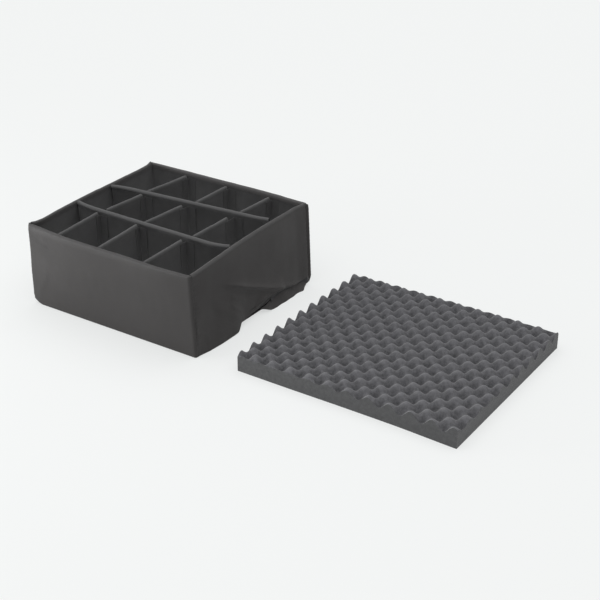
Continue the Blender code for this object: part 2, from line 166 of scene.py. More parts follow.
# Hook tabs sewn to the divider ends
TAB = 0.0009
TAB_LAP = 0.014
TAB_FLANGE = 0.025
TAB_REACH = 0.030
LEAN_REACH = 0.060  # how far in from a leaning wall a divider's end leans with it

# Egg-crate foam sheet
SHEET_WIDTH = 0.624
SHEET_DEPTH = 0.562
SHEET_SIDE_GAP = 0.125
SHEET_SETBACK = 0.012
CRATE_PITCH_ACROSS = 0.05734
CRATE_PITCH_BACK = 0.05438
PEAK_HEIGHT = 0.0540
VALLEY_HEIGHT = 0.0314
SHEET_STEP = 0.0024
EDGE_DRIFT = 0.010
# How far each cut edge stands off its straight line, at even places along it, as shares of that drift
EDGE_SHARES = {
    "front": (-0.02, -0.10, -0.02, -0.14, -0.83),
    "back": (0.53, 0.67, 0.71, 0.65, 0.42),
    "left": (0.25, 0.45, 0.49, 0.52, 0.55),
    "right": (0.78, 0.62, 0.47, 0.32, 0.16),
}

# Long dividers: the places of the left and right end, as shares of the depth inside the walls, then
# how far each end curls off the straight line, as shares of the curled stretch, then the room left
# at the right end, as a share of the tab's reach.
LONG_SHARES = {
    "front": (0.352, 0.338, 0.17, 0.26, 0.65),
    "back": (0.673, 0.763, -0.18, 0.07, 1.15),
}
# Short dividers: the places of the near and far end, as shares of the width inside the walls, then
# the space left at each end, as shares of the tab's reach.
SHORT_SHARES = {
    "front_left": (0.170, 0.145, 0.17, 0.17),
    "front_middle": (0.440, 0.411, 0.17, 0.17),
    "front_right": (0.728, 0.716, 0.17, 0.45),
    "middle_left": (0.155, 0.177, 0.40, 0.17),
    "middle_middle": (0.425, 0.449, 0.20, 0.60),
    "middle_right": (0.738, 0.737, 0.25, 0.95),
    "back_left": (0.170, 0.206, 0.30, 0.17),
    "back_middle": (0.478, 0.480, 0.30, 0.17),
    "back_right": (0.748, 0.762, 0.30, 0.17),
}

# Egg-crate rows: how they drift over the sheet, as shares of their pitch. Each goes with a power of
# the place across and one of the place back, both from -1 at one edge to 1 at the other.
CRATE_ACROSS_SHARES = {
    (0, 0): 0.622, (0, 1): -0.146,
    (2, 0): -0.184, (1, 1): 0.018, (0, 2): 0.004,
    (3, 0): 0.126, (2, 1): -0.011, (1, 2): -0.061, (0, 3): 0.053,
}
CRATE_BACK_SHARES = {
    (0, 0): -0.063, (1, 0): -0.044,
    (2, 0): 0.035, (1, 1): -0.112, (0, 2): 0.073,
    (3, 0): -0.020, (2, 1): -0.008, (1, 2): 0.139, (0, 3): -0.013,
}

# Unevenness: the number of waves in each ripple, its shortest wave as a share of its longest, and
# what its waves' sum is divided by
RIPPLE_WAVES = 9
SHORTEST_WAVE_SHARE = 0.35
RIPPLE_CREST = 1.6
# Each ripple's longest wave, and the number that its random waves start from
LONGEST_WAVE = {
    "cover": 0.35, "wrinkle": 0.09, "pucker": 0.08, "rim_leg": 0.12, "rim_top": 0.07, "lining": 0.16,
    "skirt": 0.09, "pad_top": 0.11, "pad_face": 0.2, "tape": 0.10,
}
FIRST_SEED = {
    "front": 11, "right": 23, "back": 31, "left": 41, "rims": 50, "linings": 70, "skirt": 91,
    "long_pads": 100, "long_tapes": 110, "short_pads": 120,
}

# Softness of the covers
COVER_SWELL = 0.0012
COVER_WRINKLE = 0.00025
WRINKLE_SLANT = 0.6
RIGHT_COVER_SLACK = 1.4
SHOULDER_HEIGHT = 0.020
SHOULDER_DIP = 0.0022
PUCKER_PITCH = 0.011
PUCKER_DEPTH = 0.0004
PUCKER_REACH = 0.009
PUCKER_DRIFT = 2.0
CROWN_RISE = 0.0052
RIM_WAVER = 0.0006
CUT_SHARE = 0.999  # how closely a rim's tape follows the tray's rounded corners
# The left rim's tape stands up at both of its ends
RAISED_END = 0.0035
RAISED_REACH = 0.010
LINING_SWELL = 0.0005
LINING_UNEVEN = 0.4
SKIRT_FLARE = 0.011
SKIRT_CURVE = 1.4
SKIRT_UNEVEN = 0.3
SKIRT_SHORT = 0.010
SKIRT_BEHIND = 0.0035
SKIRT_LAP = 0.045
SKIRT_TAPER = 0.030
SKIRT_TUCK = 0.85
# Folds: places on the wall that each runs through (along it and up), then its size and its reach
# above and below
FRONT_FOLDS = (
    (((0.022, 0.223), (0.076, 0.188)), 0.0016, 0.012, 0.006),
    (((0.020, 0.030), (0.070, 0.110)), 0.0010, 0.020, 0.012),
)
PULL_LINE = ((0.100, 0.172), (0.226, 0.110), (0.335, 0.062), (0.418, 0.037), (0.512, 0.016))
RIGHT_FOLDS = (
    (PULL_LINE, 0.0045, 0.034, 0.014),
    (PULL_LINE, 0.0050, 0.007, 0.009),
    (((0.255, 0.030), (0.298, 0.043), (0.345, 0.046), (0.400, 0.040)), 0.0080, 0.014, 0.007),
    (((0.150, 0.112), (0.190, 0.088), (0.225, 0.066)), 0.0020, 0.010, 0.006),
    (((0.145, 0.092), (0.180, 0.062), (0.205, 0.038)), 0.0020, 0.010, 0.006),
    (((0.060, 0.120), (0.160, 0.060), (0.215, 0.018)), 0.0030, 0.030, 0.012),
)
FOLD_SOFTNESS = 0.008
FOLD_START = 0.3  # the shares of a fold's length over which it begins and ends
FOLD_STOP = 0.2

# Softness of the dividers
PAD_PUFF = 0.0012
PUFF_CURVE = 0.7
PAD_SWAY = 0.0005
PAD_FADE = 0.020
PAD_CORNER = 0.004
PAD_WAVER = 0.0010
TAB_BEND = 0.004
BEND_SHARE = 0.45  # the most of a tab's free length that its bend takes up

# Stitching
STITCH_PITCH = 0.0040
STITCH_LENGTH = 0.0031
STITCH_THICK = 0.0006
STITCH_SIDES = 6
STITCH_RING = 2
STITCH_END = 2
STITCH_SHARES = ((-0.5, 0.15), (-0.35, 0.8), (0.0, 1.0), (0.35, 0.8), (0.5, 0.15))  # (along, thickness)

# How finely the shapes are drawn
COVER_STEP = 0.006
FLANK_STEP = 0.0035
FINE_STEP = 0.0015
CORNER_STEPS = 7
COVER_ROWS = 84
FOOT_SHARE = 0.04  # a cover's rows lie closer over this share of its height, at the foot and the rim
FOOT_ROWS = 7
TOP_ROWS = 4
RIM_STATIONS = 121
CROWN_STEPS = 13
LEG_STEPS = 5
LINING_COLUMNS = 65
LINING_ROWS = 19
SKIRT_COLUMNS = 60
SKIRT_ROWS = 10
PATH_STEP = 0.002
PAD_STEP = 0.005
PAD_ROWS = 11
ARC_STEPS = 9
END_STEPS = 6
END_ANGLE = math.pi / 9
CURL_STEPS = 12
BEND_STEPS = 5
TAB_ROWS = 12
SIDE_ROWS = 5
SEAM_COLUMN = 3
SEAM_FOOT_ROW = 12
HEM_ROW = 7
GUSSET_BEVELS = 2
# The angles, in degrees, from which an edge is drawn as a sharp one
CREASE = 40
SOFT_CREASE = 60
TAPE_CREASE = 50
CRATE_CREASE = 55

# Materials
NYLON_COLOUR = (0.0530, 0.0498, 0.0491)
RIM_COLOUR = (0.053, 0.051, 0.051)
# The back rim's tape is the same tape as the other rims, painted paler as painted light on its inner leg
REAR_RIM_PAINTED_LIGHT_COLOUR = (0.070, 0.067, 0.067)
TAPE_COLOUR = (0.066, 0.066, 0.067)
LOOP_COLOUR = (0.196, 0.196, 0.198)
DIVIDER_COLOUR = (0.154, 0.154, 0.156)
HOOK_COLOUR = (0.185, 0.185, 0.187)
CORE_COLOUR = (0.045, 0.045, 0.048)
BOARD_COLOUR = (0.030, 0.030, 0.032)
CRATE_COLOUR = (0.101, 0.101, 0.108)
# The foam's cut sides: their own colour, set a little darker than the top as painted shade
CRATE_SIDE_COLOUR_AND_PAINTED_SHADE = (0.100, 0.101, 0.103)
THREAD_COLOUR = (0.060, 0.060, 0.060)
CLOTH_SPECULAR = 0.4
SHEEN_ROUGHNESS = 0.45
WEAVE_PITCH = 0.0009
RIB_PITCH = 0.0011
TWIST_PITCH = 0.0005
PILE_HEIGHT = 0.0008
HOOK_PITCH = 0.0016
CORE_CELL = 0.0009
CRATE_CELL = 0.0013
# Each material's roughness and sheen
SURFACES = {
    "nylon_pack_cloth": (0.46, 0.08),
    "rim_tape_cloth": (0.58, 0.35),
    # the back rim's tape: the rim tape painted paler, as painted light
    "rear_rim_tape_painted_light": (0.58, 0.35),
    "divider_tape_cloth": (0.62, 0.35),
    "sewing_thread": (0.5, 0.35),
    "loop_lining_cloth": (0.92, 0.25),
    "divider_loop_cloth": (0.92, 0.30),
    "hook_tape_cloth": (0.60, 0.15),
    "closed_cell_foam": (0.95, 0.30),
    "open_cell_foam": (0.95, 0.30),
    "stiffener_board": (0.55, 0.0),
    "studio_floor": (0.9, 0.0),
}
# Noises: patches along a metre, and finer layers in them
NYLON_CLOUDS = (9.0, 4.0)
NYLON_GLOSS = (22.0, 3.0)
NYLON_GRAIN = (160.0, 3.0)
TAPE_CLOUDS = (40.0, 3.0)
TAPE_FLUFF = (700.0, 3.0)
PILE = (900.0, 6.0)
PILE_PATCHES = (28.0, 4.0)
PILE_TUFTS = (240.0, 3.0)
BOARD_GRAIN = (120.0, 4.0)
# The same for cut foam, where the first number is patches along the width of a cell
FOAM_GRAIN = (0.35, 5.0)
FOAM_CLOUDS = (0.16, 2.0)
# The range of the nylon's roughness, and how much of each pattern the materials take
NYLON_ROUGHNESS = (0.40, 0.56)
GRAIN_SHARE = 1.2
FLUFF_SHARE = 0.8
TUFT_SHARE = 0.8
PILE_SHARE = 0.15
PATCH_SHARE = 0.15
# Painted fill light: how much paler the cloth is painted towards the tray's floor, against the shade down in
# it
PAINTED_FILL_SHARE = 0.7
# Painted highlight: how much paler the dividers are painted just below their top edges
PAINTED_HIGHLIGHT_SHARE = 0.11
DOT_SHARE = 0.3
PIT_SHARE = 0.6
CLOUD_SHARE = 0.6
# Painted light and shade: how much paler the sheet's peaks and darker its valleys are painted
PAINTED_CREST_SHARE = 0.45
SIDE_FACING = (0.2, 0.4)  # how far up a foam face looks, from a cut side to the moulded top
# How much darker and paler a pattern makes each colour, as shares of it
NYLON_SPREAD = 0.10
TAPE_SPREAD = 0.12
PILE_SPREAD = 0.85
CORE_SPREAD = 0.15
CRATE_SPREAD = 0.50
CRATE_SIDE_SPREAD = 0.28
BOARD_SPREAD = 0.15
# How strongly each relief is drawn
NYLON_BUMP = 0.30
TAPE_BUMP = 0.35
PILE_BUMP = 0.7
HOOK_BUMP = 0.5
FOAM_BUMP = 0.8
BOARD_BUMP = 0.2
BOARD_RELIEF = NYLON / 10

# Worked out from the sizes above
WALL = NYLON + FIT_GAP + WALL_FOAM + FIT_GAP + LINING
HALF_WIDTH = TRAY_WIDTH / 2
HALF_DEPTH = TRAY_DEPTH / 2
INNER_X = HALF_WIDTH - WALL
INNER_Y = HALF_DEPTH - WALL
SIDE_END = INNER_Y - FIT_GAP
WRAP_Y = INNER_Y + LINING + FIT_GAP
WALL_FOOT = NYLON + FIT_GAP
COVER_TOP = TRAY_HEIGHT - RIM_OUTER_LEG + TAPE_PROUD
LINING_TOP = TRAY_HEIGHT - RIM_INNER_LEG - FIT_GAP
BOARD_TOP = WALL_FOOT + BASE_BOARD
BASE_FOAM_FOOT = BOARD_TOP + FIT_GAP
FLOOR_FOOT = BASE_FOAM_FOOT + BASE_FOAM + FIT_GAP
FLOOR_TOP = FLOOR_FOOT + LINING
DIVIDER_FOOT = FLOOR_TOP + FIT_GAP
LONG_TOP = TRAY_HEIGHT
LONG_HALF = LONG_FOAM / 2 + FIT_GAP + NYLON
SHORT_TOP = TRAY_HEIGHT - SHORT_BELOW_RIM
RECESS_START = RECESS_FRONT - HALF_DEPTH
RECESS_END = RECESS_START + RECESS_LENGTH
RECESS_INNER_X = HALF_WIDTH - RECESS_DEPTH
GUSSET_INNER_X = RECESS_INNER_X - GUSSET
GUSSET_TOP = RECESS_HEIGHT + GUSSET
SHEET_MIDDLE_X = HALF_WIDTH + SHEET_SIDE_GAP + SHEET_WIDTH / 2
SHEET_MIDDLE_Y = SHEET_SETBACK - HALF_DEPTH + SHEET_DEPTH / 2


# Shapes as arrays of points


def ease(share):
    """A smooth step from 0 to 1."""
    share = np.clip(share, 0.0, 1.0)
    return share * share * (3.0 - 2.0 * share)


def read_shares(values, share):
    """Reads an even table of shares, with its corners rounded off."""
    places = np.linspace(0.0, 1.0, len(values))
    rounded = sum(np.interp(share + offset, places, values) for offset in ROUNDING_SHARES)
    return rounded / len(ROUNDING_SHARES)


def ripple(first, second, kind, seed):
    """A smooth, repeatable unevenness between about -1 and 1 over two coordinates in metres."""
    dice = np.random.RandomState(seed)
    total = np.zeros(np.broadcast(first, second).shape)
    for _ in range(RIPPLE_WAVES):
        angle = dice.uniform(0.0, math.tau)
        rate = math.tau / (LONGEST_WAVE[kind] * dice.uniform(SHORTEST_WAVE_SHARE, 1.0))
        phase = dice.uniform(0.0, math.tau)
        total = total + np.sin(rate * (first * math.cos(angle) + second * math.sin(angle)) + phase)
    return total / math.sqrt(RIPPLE_WAVES) / RIPPLE_CREST


def distances(points):
    """How far along a line of points each of them lies."""
    return np.concatenate([[0.0], np.cumsum(np.linalg.norm(np.diff(points, axis=0), axis=1))])


def read_line(values, run, places):
    """The values of a line of points at given distances along it."""
    return np.stack([np.interp(places, run, column) for column in values.T], axis=-1)


def near_corner(x, y, corner, reach):
    """1 at one of the tray's upright corners, and 0 beyond a reach from it."""
    side, end = corner
    return ease(1.0 - (HALF_WIDTH - side * x) / reach) * ease(1.0 - (HALF_DEPTH - end * y) / reach)


def stand(points):
    """Moves points of the straight tray to where its leaning, bowing walls really are."""
    x, y, z = points[..., 0], points[..., 1], points[..., 2]
    across = np.clip((x + HALF_WIDTH) / TRAY_WIDTH, 0.0, 1.0)
    back = np.clip((y + HALF_DEPTH) / TRAY_DEPTH, 0.0, 1.0)
    up = z / TRAY_HEIGHT
    left = -read_shares(BOW_SHARES["left"], back)
    right = read_shares(BOW_SHARES["right"], back)
    near = -read_shares(BOW_SHARES["front"], across)
    far = read_shares(BOW_SHARES["back"], across)
    moved = np.array(points, dtype=float)
    moved[..., 0] += RIM_BOW * up * (left + (right - left) * across)
    moved[..., 1] += RIM_BOW * up * (near + (far - near) * back)
    moved[..., 2] += BACK_RISE * up * back
    for corner, (at_foot, at_rim) in CORNER_PUSHES.items():
        push = at_foot + (at_rim - at_foot) * up
        moved[..., 0] += corner[0] * push * near_corner(x, y, corner, CORNER_REACH)
    for corner, (lift, reach, height) in CORNER_LIFTS.items():
        moved[..., 2] += lift * near_corner(x, y, corner, reach) * ease(1.0 - z / height)
    return moved


def grid_faces(rows, columns, start, closed):
    """Four-sided faces over a grid of points, joined round its columns if it is closed."""
    i, j = np.meshgrid(np.arange(rows - 1), np.arange(columns if closed else columns - 1), indexing="ij")
    k = (j + 1) % columns
    corners = (i * columns + j, i * columns + k, (i + 1) * columns + k, (i + 1) * columns + j)
    return (np.stack(corners, axis=-1).reshape(-1, 4) + start).tolist()


def lofted(rings):
    """Points and faces of a closed body through rings of points, shaped (rings, points, 3)."""
    count, size, _ = rings.shape
    faces = grid_faces(count, size, 0, True)
    faces.append(list(range(size)))
    faces.append(list(range((count - 1) * size, count * size)))
    return rings.reshape(-1, 3), faces


def grid_border(rows, columns):
    """The numbers of a grid's outer points, in their order round it."""
    border = [(0, j) for j in range(columns)] + [(i, columns - 1) for i in range(1, rows)]
    border += [(rows - 1, j) for j in range(columns - 2, -1, -1)] + [(i, 0) for i in range(rows - 2, 0, -1)]
    return [i * columns + j for i, j in border]


def band_faces(first, second):
    """Four-sided faces between two closed loops of point numbers."""
    return list(zip(first, first[1:] + first[:1], second[1:] + second[:1], second))


def layered(outer, inner):
    """Points and faces of a closed body between two grids of as many points."""
    rows, columns, _ = outer.shape
    total = rows * columns
    faces = grid_faces(rows, columns, 0, False) + grid_faces(rows, columns, total, False)
    border = grid_border(rows, columns)
    faces += band_faces(border, [corner + total for corner in border])
    return np.concatenate([outer.reshape(-1, 3), inner.reshape(-1, 3)]), faces


def many(points, faces, places):
    """Copies of one small body at many places: (count, 3, 4) matrices."""
    count = len(places)
    turned = np.einsum("nij,kj->nki", places[:, :, :3], points) + places[:, None, :, 3]
    steps = np.arange(count) * len(points)
    every = []
    for face in faces:
        every.extend((np.array(face)[None, :] + steps[:, None]).tolist())
    return turned.reshape(-1, 3), every


def piece(name, shape, look, body, nodes=(), crease=CREASE):
    """A new closed object that rides on a body and stands for the named nodes."""
    points, faces = shape
    mesh = bpy.data.meshes.new(name)
    mesh.from_pydata(np.asarray(points).tolist(), [], faces)
    work = bmesh.new()
    work.from_mesh(mesh)
    bmesh.ops.recalc_face_normals(work, faces=work.faces)
    if work.calc_volume(signed=True) < 0:
        bmesh.ops.reverse_faces(work, faces=work.faces)
    work.to_mesh(mesh)
    work.free()
    mesh.shade_smooth()
    mesh.set_sharp_from_angle(angle=math.radians(crease))
    mesh.materials.append(look)
    made = bpy.data.objects.new(name, mesh)
    bpy.context.scene.collection.objects.link(made)
    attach(made, body)
    if nodes:
        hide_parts(*nodes)
    return made


# Stitches


def stitch_shape():
    """One short thread, along +X with +Z off the cloth, swelling in its middle."""
    rings = []
    for along, fat in STITCH_SHARES:
        angles = np.arange(STITCH_SIDES) * math.tau / STITCH_SIDES
        across = np.cos(angles) * STITCH_THICK / 2 * fat
        off = np.sin(angles) * STITCH_THICK / 2 * fat + STITCH_THICK * (fat - 1) / 2
        rings.append(np.stack([np.full(STITCH_SIDES, along * STITCH_LENGTH), across, off], axis=-1))
    return lofted(np.array(rings))


def stitch_row(path, normals):
    """A row of stitches along a line of points, each lying on the cloth whose normal is given."""
    run = distances(path)
    places = np.arange(STITCH_PITCH, run[-1] - STITCH_PITCH / 2, STITCH_PITCH)
    at = read_line(path, run, places)
    along = read_line(path, run, places + STITCH_PITCH / 4) - at
    along /= np.linalg.norm(along, axis=1)[:, None]
    off = read_line(normals, run, places)
    off -= along * np.sum(off * along, axis=1)[:, None]
    off /= np.linalg.norm(off, axis=1)[:, None]
    side = np.cross(off, along)
    matrices = np.stack([along, side, off, at + off * STITCH_THICK / 4], axis=-1)
    points, faces = stitch_shape()
    return many(points, faces, matrices)


def joined(shapes):
    """Several bodies as one list of points and one of faces."""
    points, faces, start = [], [], 0
    for part_points, part_faces in shapes:
        points.append(part_points)
        faces.extend([[corner + start for corner in face] for face in part_faces])
        start += len(part_points)
    return np.concatenate(points), faces


# Walls


def stations(points, turns):
    """Plan places along a wall's outer face: x, y and the way out of the wall."""
    return np.column_stack([points, turns])


def side_run(start, stop, outward, step):
    """Stations along a straight stretch of the walls."""
    count = max(2, int(round(math.dist(start, stop) / step)) + 1)
    points = np.linspace(start, stop, count)
    return stations(points, np.tile(outward, (count, 1)))


def corner_run(centre, first_angle):
    """A quarter turn about a centre, without its two ends."""
    angles = first_angle + np.linspace(0.0, math.pi / 2, CORNER_STEPS + 2)[1:-1]
    turns = np.column_stack([np.cos(angles), np.sin(angles)])
    return stations(np.array(centre) + CORNER_ROUND * turns, turns)


def end_run():
    """Stations of the front cover: it turns both corners and ends just round them."""
    inner_x = HALF_WIDTH - CORNER_ROUND
    inner_y = HALF_DEPTH - CORNER_ROUND
    return np.concatenate([
        side_run((-HALF_WIDTH, -WRAP_Y), (-HALF_WIDTH, -inner_y), (-1.0, 0.0), FINE_STEP),
        corner_run((-inner_x, -inner_y), math.pi),
        side_run((-inner_x, -HALF_DEPTH), (inner_x, -HALF_DEPTH), (0.0, -1.0), COVER_STEP),
        corner_run((inner_x, -inner_y), -math.pi / 2),
        side_run((HALF_WIDTH, -inner_y), (HALF_WIDTH, -WRAP_Y), (1.0, 0.0), FINE_STEP),
    ])


def flank_run():
    """Stations of the right cover, between the wrapped ends of the front and the back cover."""
    stop = WRAP_Y - FIT_GAP
    near = side_run((HALF_WIDTH, -stop), (HALF_WIDTH, -stop + 2 * SEAM_REACH), (1.0, 0.0), FINE_STEP)
    middle = side_run((HALF_WIDTH, -stop + 2 * SEAM_REACH), (HALF_WIDTH, stop - 2 * SEAM_REACH), (1.0, 0.0),
                      FLANK_STEP)
    far = side_run((HALF_WIDTH, stop - 2 * SEAM_REACH), (HALF_WIDTH, stop), (1.0, 0.0), FINE_STEP)
    return np.concatenate([near, middle[1:-1], far])


def half_turn(run):
    """The same stations on the opposite wall."""
    return -run


def run_lengths(run):
    """How far round the walls each station lies."""
    return distances(run[:, :2])


def seam_dip(run):
    """How far a cover pulls in at its upright seams, less at those near the front wall."""
    length = run_lengths(run)
    edge = np.minimum(length, length[-1] - length)
    depth = np.where(run[:, 1] < 0, FRONT_SEAM_DIP, SEAM_DIP)
    return depth * np.exp(-((edge / SEAM_REACH) ** 2))


def foot_dip(run, height):
    """How far a cover pulls in where it rounds under the base, most at the blunt front left corner."""
    away = np.hypot(run[:, 0] + HALF_WIDTH, run[:, 1] + HALF_DEPTH)
    radius = FOOT_ROUND + (BLUNT_FOOT - FOOT_ROUND) * (1.0 - ease(away / BLUNT_RUN))[None, :]
    low = np.clip(radius - height, 0.0, radius)
    return radius - np.sqrt(np.maximum(radius**2 - low**2, 0.0))


def shoulder_dip(height):
    """How far a wall's outer face pulls in below its rounded rim."""
    share = np.clip((height - (TRAY_HEIGHT - SHOULDER_HEIGHT)) / SHOULDER_HEIGHT, 0.0, 1.0)
    return SHOULDER_DIP * share**2


def cover_heights(low, high):
    """Heights up a cover, closer together at the foot and at the rim."""
    foot = np.linspace(0.0, FOOT_SHARE, FOOT_ROWS)[:-1]
    middle = np.linspace(FOOT_SHARE, 1.0 - FOOT_SHARE, COVER_ROWS)
    top = np.linspace(1.0 - FOOT_SHARE, 1.0, TOP_ROWS)[1:]
    return low + (high - low) * np.concatenate([foot, middle, top])


def wall_shape(run, low, high, relief):
    """A cover: its outer and inner faces over the stations, standing as the real one does."""
    rows = len(cover_heights(0.0, 1.0))
    height = np.stack([cover_heights(foot, high) for foot in low], axis=1)
    along = np.tile(run_lengths(run), (rows, 1))
    out = relief(along, height) - seam_dip(run)[None, :] - foot_dip(run, height) - shoulder_dip(height)
    faces = []
    for depth in (0.0, NYLON):
        offset = out - depth
        x = run[None, :, 0] + run[None, :, 2] * offset
        y = run[None, :, 1] + run[None, :, 3] * offset
        faces.append(stand(np.stack([x, y, height], axis=-1)))
    return faces


def pucker(run, along, height, seed):
    """Small gathers beside a cover's upright seams."""
    edge = np.minimum(along, run_lengths(run)[-1] - along)
    drift = PUCKER_DRIFT * ripple(height, height, "pucker", seed)
    wave = np.sin(math.tau * height / PUCKER_PITCH + drift)
    return PUCKER_DEPTH * wave * np.exp(-edge / PUCKER_REACH)


def ridge(off, above, below):
    """A fold's section: a long fall above it and a short one below."""
    return np.where(off > 0.0, np.exp(-np.abs(off) / above), np.exp(-((off / below) ** 2)))


def fold(along, height, line, above, below):
    """A fold that runs through places on a wall, fading at both ends."""
    places, levels = np.array(line).T
    spread = [np.interp(along + offset, places, levels) for offset in (-FOLD_SOFTNESS, 0.0, FOLD_SOFTNESS)]
    slope = (levels[-1] - levels[0]) / (places[-1] - places[0])
    off = (height - sum(spread) / len(spread)) / math.hypot(1.0, slope)
    share = (along - places[0]) / (places[-1] - places[0])
    return ridge(off, above, below) * ease(share / FOLD_START) * ease((1.0 - share) / FOLD_STOP)


def folded(total, along, height, folds):
    """A relief with a wall's folds added to it."""
    for line, size, above, below in folds:
        total = total + size * fold(along, height, line, above, below)
    return total


def plain_relief(run, wall):
    """A smooth wall's slight unevenness."""
    seed = FIRST_SEED[wall]

    def relief(along, height):
        swell = np.sin(math.pi * height / TRAY_HEIGHT)
        wide = COVER_SWELL * swell * ripple(along, height, "cover", seed)
        fine = COVER_WRINKLE * ripple(along, height * WRINKLE_SLANT, "wrinkle", seed + 1)
        return wide + fine * swell + pucker(run, along, height, seed)

    return relief


def back_relief(run):
    """The back cover: a strip of its right end stands out past the right wall, except at the foot."""
    plain = plain_relief(run, "back")

    def relief(along, height):
        stand_out = END_STAND_OUT * ease(height / END_FOOT) * ease(along / END_STRIP)
        return plain(along, height) + stand_out * np.clip(run[None, :, 2], 0.0, 1.0)

    return relief


def front_relief(run):
    """The front cover: a faint crease near each end of its left edge."""
    plain = plain_relief(run, "front")
    return lambda along, height: folded(plain(along, height), along, height, FRONT_FOLDS)


def hem(kind, along):
    """Reads one of the right cover's hem tables at a distance along that cover."""
    share = (along + HALF_DEPTH - WRAP_Y) / TRAY_DEPTH
    return np.interp(share, HEM_SHARES["place"], HEM_SHARES[kind])


def right_relief(run):
    """The right cover: pulled folds, a flared foot before the recess and a tucked hem over it."""
    plain = plain_relief(run, "right")

    def relief(along, height):
        total = folded(RIGHT_COVER_SLACK * plain(along, height), along, height, RIGHT_FOLDS)
        flare = HEM_FLARE * hem("flare", along)
        total = total + flare * np.clip(1.0 - height / FLARE_HEIGHT, 0.0, 1.0) ** FLARE_CURVE
        low = HEM_HEIGHT * hem("height", along)
        crease = HEM_HEIGHT * hem("crease", along)
        share = np.clip((crease - height) / np.maximum(crease - low, FIT_GAP), 0.0, 1.0)
        return total - HEM_TUCK * hem("tuck", along) * share**TUCK_CURVE

    return relief


def hem_foot(run):
    """The height of the right cover's lower edge at each station."""
    share = (run[:, 1] + HALF_DEPTH) / TRAY_DEPTH
    raised = HEM_HEIGHT * np.interp(share, HEM_SHARES["place"], HEM_SHARES["height"])
    return np.maximum(raised, FOOT_LIFT)


def level_foot(run):
    """The height of a level lower edge at each station."""
    return np.full(len(run), FOOT_LIFT)


def covers(looks):
    """The four walls' covers. The front and the back one turn the corners on to the side walls."""
    front = end_run()
    back = half_turn(front)
    right = flank_run()
    left = half_turn(right)
    made = {
        "front": wall_shape(front, level_foot(front), COVER_TOP, front_relief(front)),
        "back": wall_shape(back, level_foot(back), COVER_TOP, back_relief(back)),
        "right": wall_shape(right, hem_foot(right), COVER_TOP, right_relief(right)),
        "left": wall_shape(left, level_foot(left), COVER_TOP, plain_relief(left, "left")),
    }
    for name, faces in made.items():
        piece(f"{name}_nylon", layered(*faces), looks["nylon"], "tray", [f"{name}_cover"],
              SOFT_CREASE)
    return made


def corner_cut(x):
    """How far the tray's rounded upright corner cuts into an end wall at this x."""
    beyond = np.clip(np.abs(x) - (HALF_WIDTH - CORNER_ROUND), 0.0, CORNER_ROUND)
    return CORNER_ROUND - np.sqrt(CORNER_ROUND**2 - beyond**2)


def to_wall(wall, along, depth, height):
    """A point of a wall: along it, inwards from its outer face, and up."""
    along, depth, height = np.broadcast_arrays(along, depth, height)
    if wall == "front":
        return np.stack([along, depth - HALF_DEPTH, height], axis=-1)
    if wall == "back":
        return np.stack([-along, HALF_DEPTH - depth, height], axis=-1)
    if wall == "right":
        return np.stack([HALF_WIDTH - depth, along, height], axis=-1)
    return np.stack([depth - HALF_WIDTH, -along, height], axis=-1)


def crown_section(outer, inner, outer_foot, inner_foot, top, thick):
    """A tape folded over a rounded wall top: (depth, height) points right round it."""

    def arch(first, last, first_foot, last_foot, high):
        half = (last - first) / 2
        rise = min(half, CROWN_RISE)
        angles = np.linspace(math.pi, 0.0, CROWN_STEPS)
        legs_up = np.linspace(first_foot, high - rise, LEG_STEPS)[:-1]
        legs_down = np.linspace(high - rise, last_foot, LEG_STEPS)[1:]
        depth = np.concatenate([np.full(len(legs_up), first), (first + last) / 2 + half * np.cos(angles),
                                np.full(len(legs_down), last)])
        height = np.concatenate([legs_up, high - rise + rise * np.sin(angles), legs_down])
        return np.column_stack([depth, height])

    over = arch(outer, inner, outer_foot, inner_foot, top)
    under = arch(outer + thick, inner - thick, outer_foot, inner_foot, top - thick)
    return np.concatenate([over, under[::-1]])


def rim_rings(wall, seed):
    """The tape over a wall's rim, a little uneven as a sewn one is."""
    ends = HALF_WIDTH if wall in ("front", "back") else SIDE_END
    along = np.linspace(-ends, ends, RIM_STATIONS)
    if wall in ("front", "back"):
        cut = corner_cut(along) * CUT_SHARE
    else:
        cut = np.zeros(len(along))
    waver = RIM_WAVER * ripple(along, along * 0.0, "rim_leg", seed)
    drift = RIM_WAVER * ripple(along, along * 0.0, "rim_top", seed + 1)
    raised = RAISED_END if wall == "left" else 0.0
    top = TRAY_HEIGHT + drift / 2 + raised * np.exp(-(((ends - np.abs(along)) / RAISED_REACH) ** 2))
    rings = []
    for place, taken, leg, high in zip(along, cut, waver, top):
        section = crown_section(
            taken - TAPE_PROUD, WALL + TAPE_PROUD, TRAY_HEIGHT - RIM_OUTER_LEG + leg,
            TRAY_HEIGHT - RIM_INNER_LEG + leg, high, NYLON)
        depth = section[:, 0] + shoulder_dip(section[:, 1]) * (section[:, 0] < WALL / 2)
        rings.append(to_wall(wall, np.full(len(section), place), depth, section[:, 1]))
    return stand(np.array(rings))


def rims(looks):
    """The tapes over the four walls' rims."""
    made = {}
    for number, wall in enumerate(BOW_SHARES):
        rings = rim_rings(wall, FIRST_SEED["rims"] + 2 * number)
        made[wall] = rings
        # The back rim takes the rim tape painted paler, as painted light
        look = looks["rear_rim_painted_light"] if wall == "back" else looks["rim"]
        piece(f"{wall}_rim_tape", lofted(rings), look, "tray", [f"{wall}_rim_binding"],
              TAPE_CREASE)
    return made


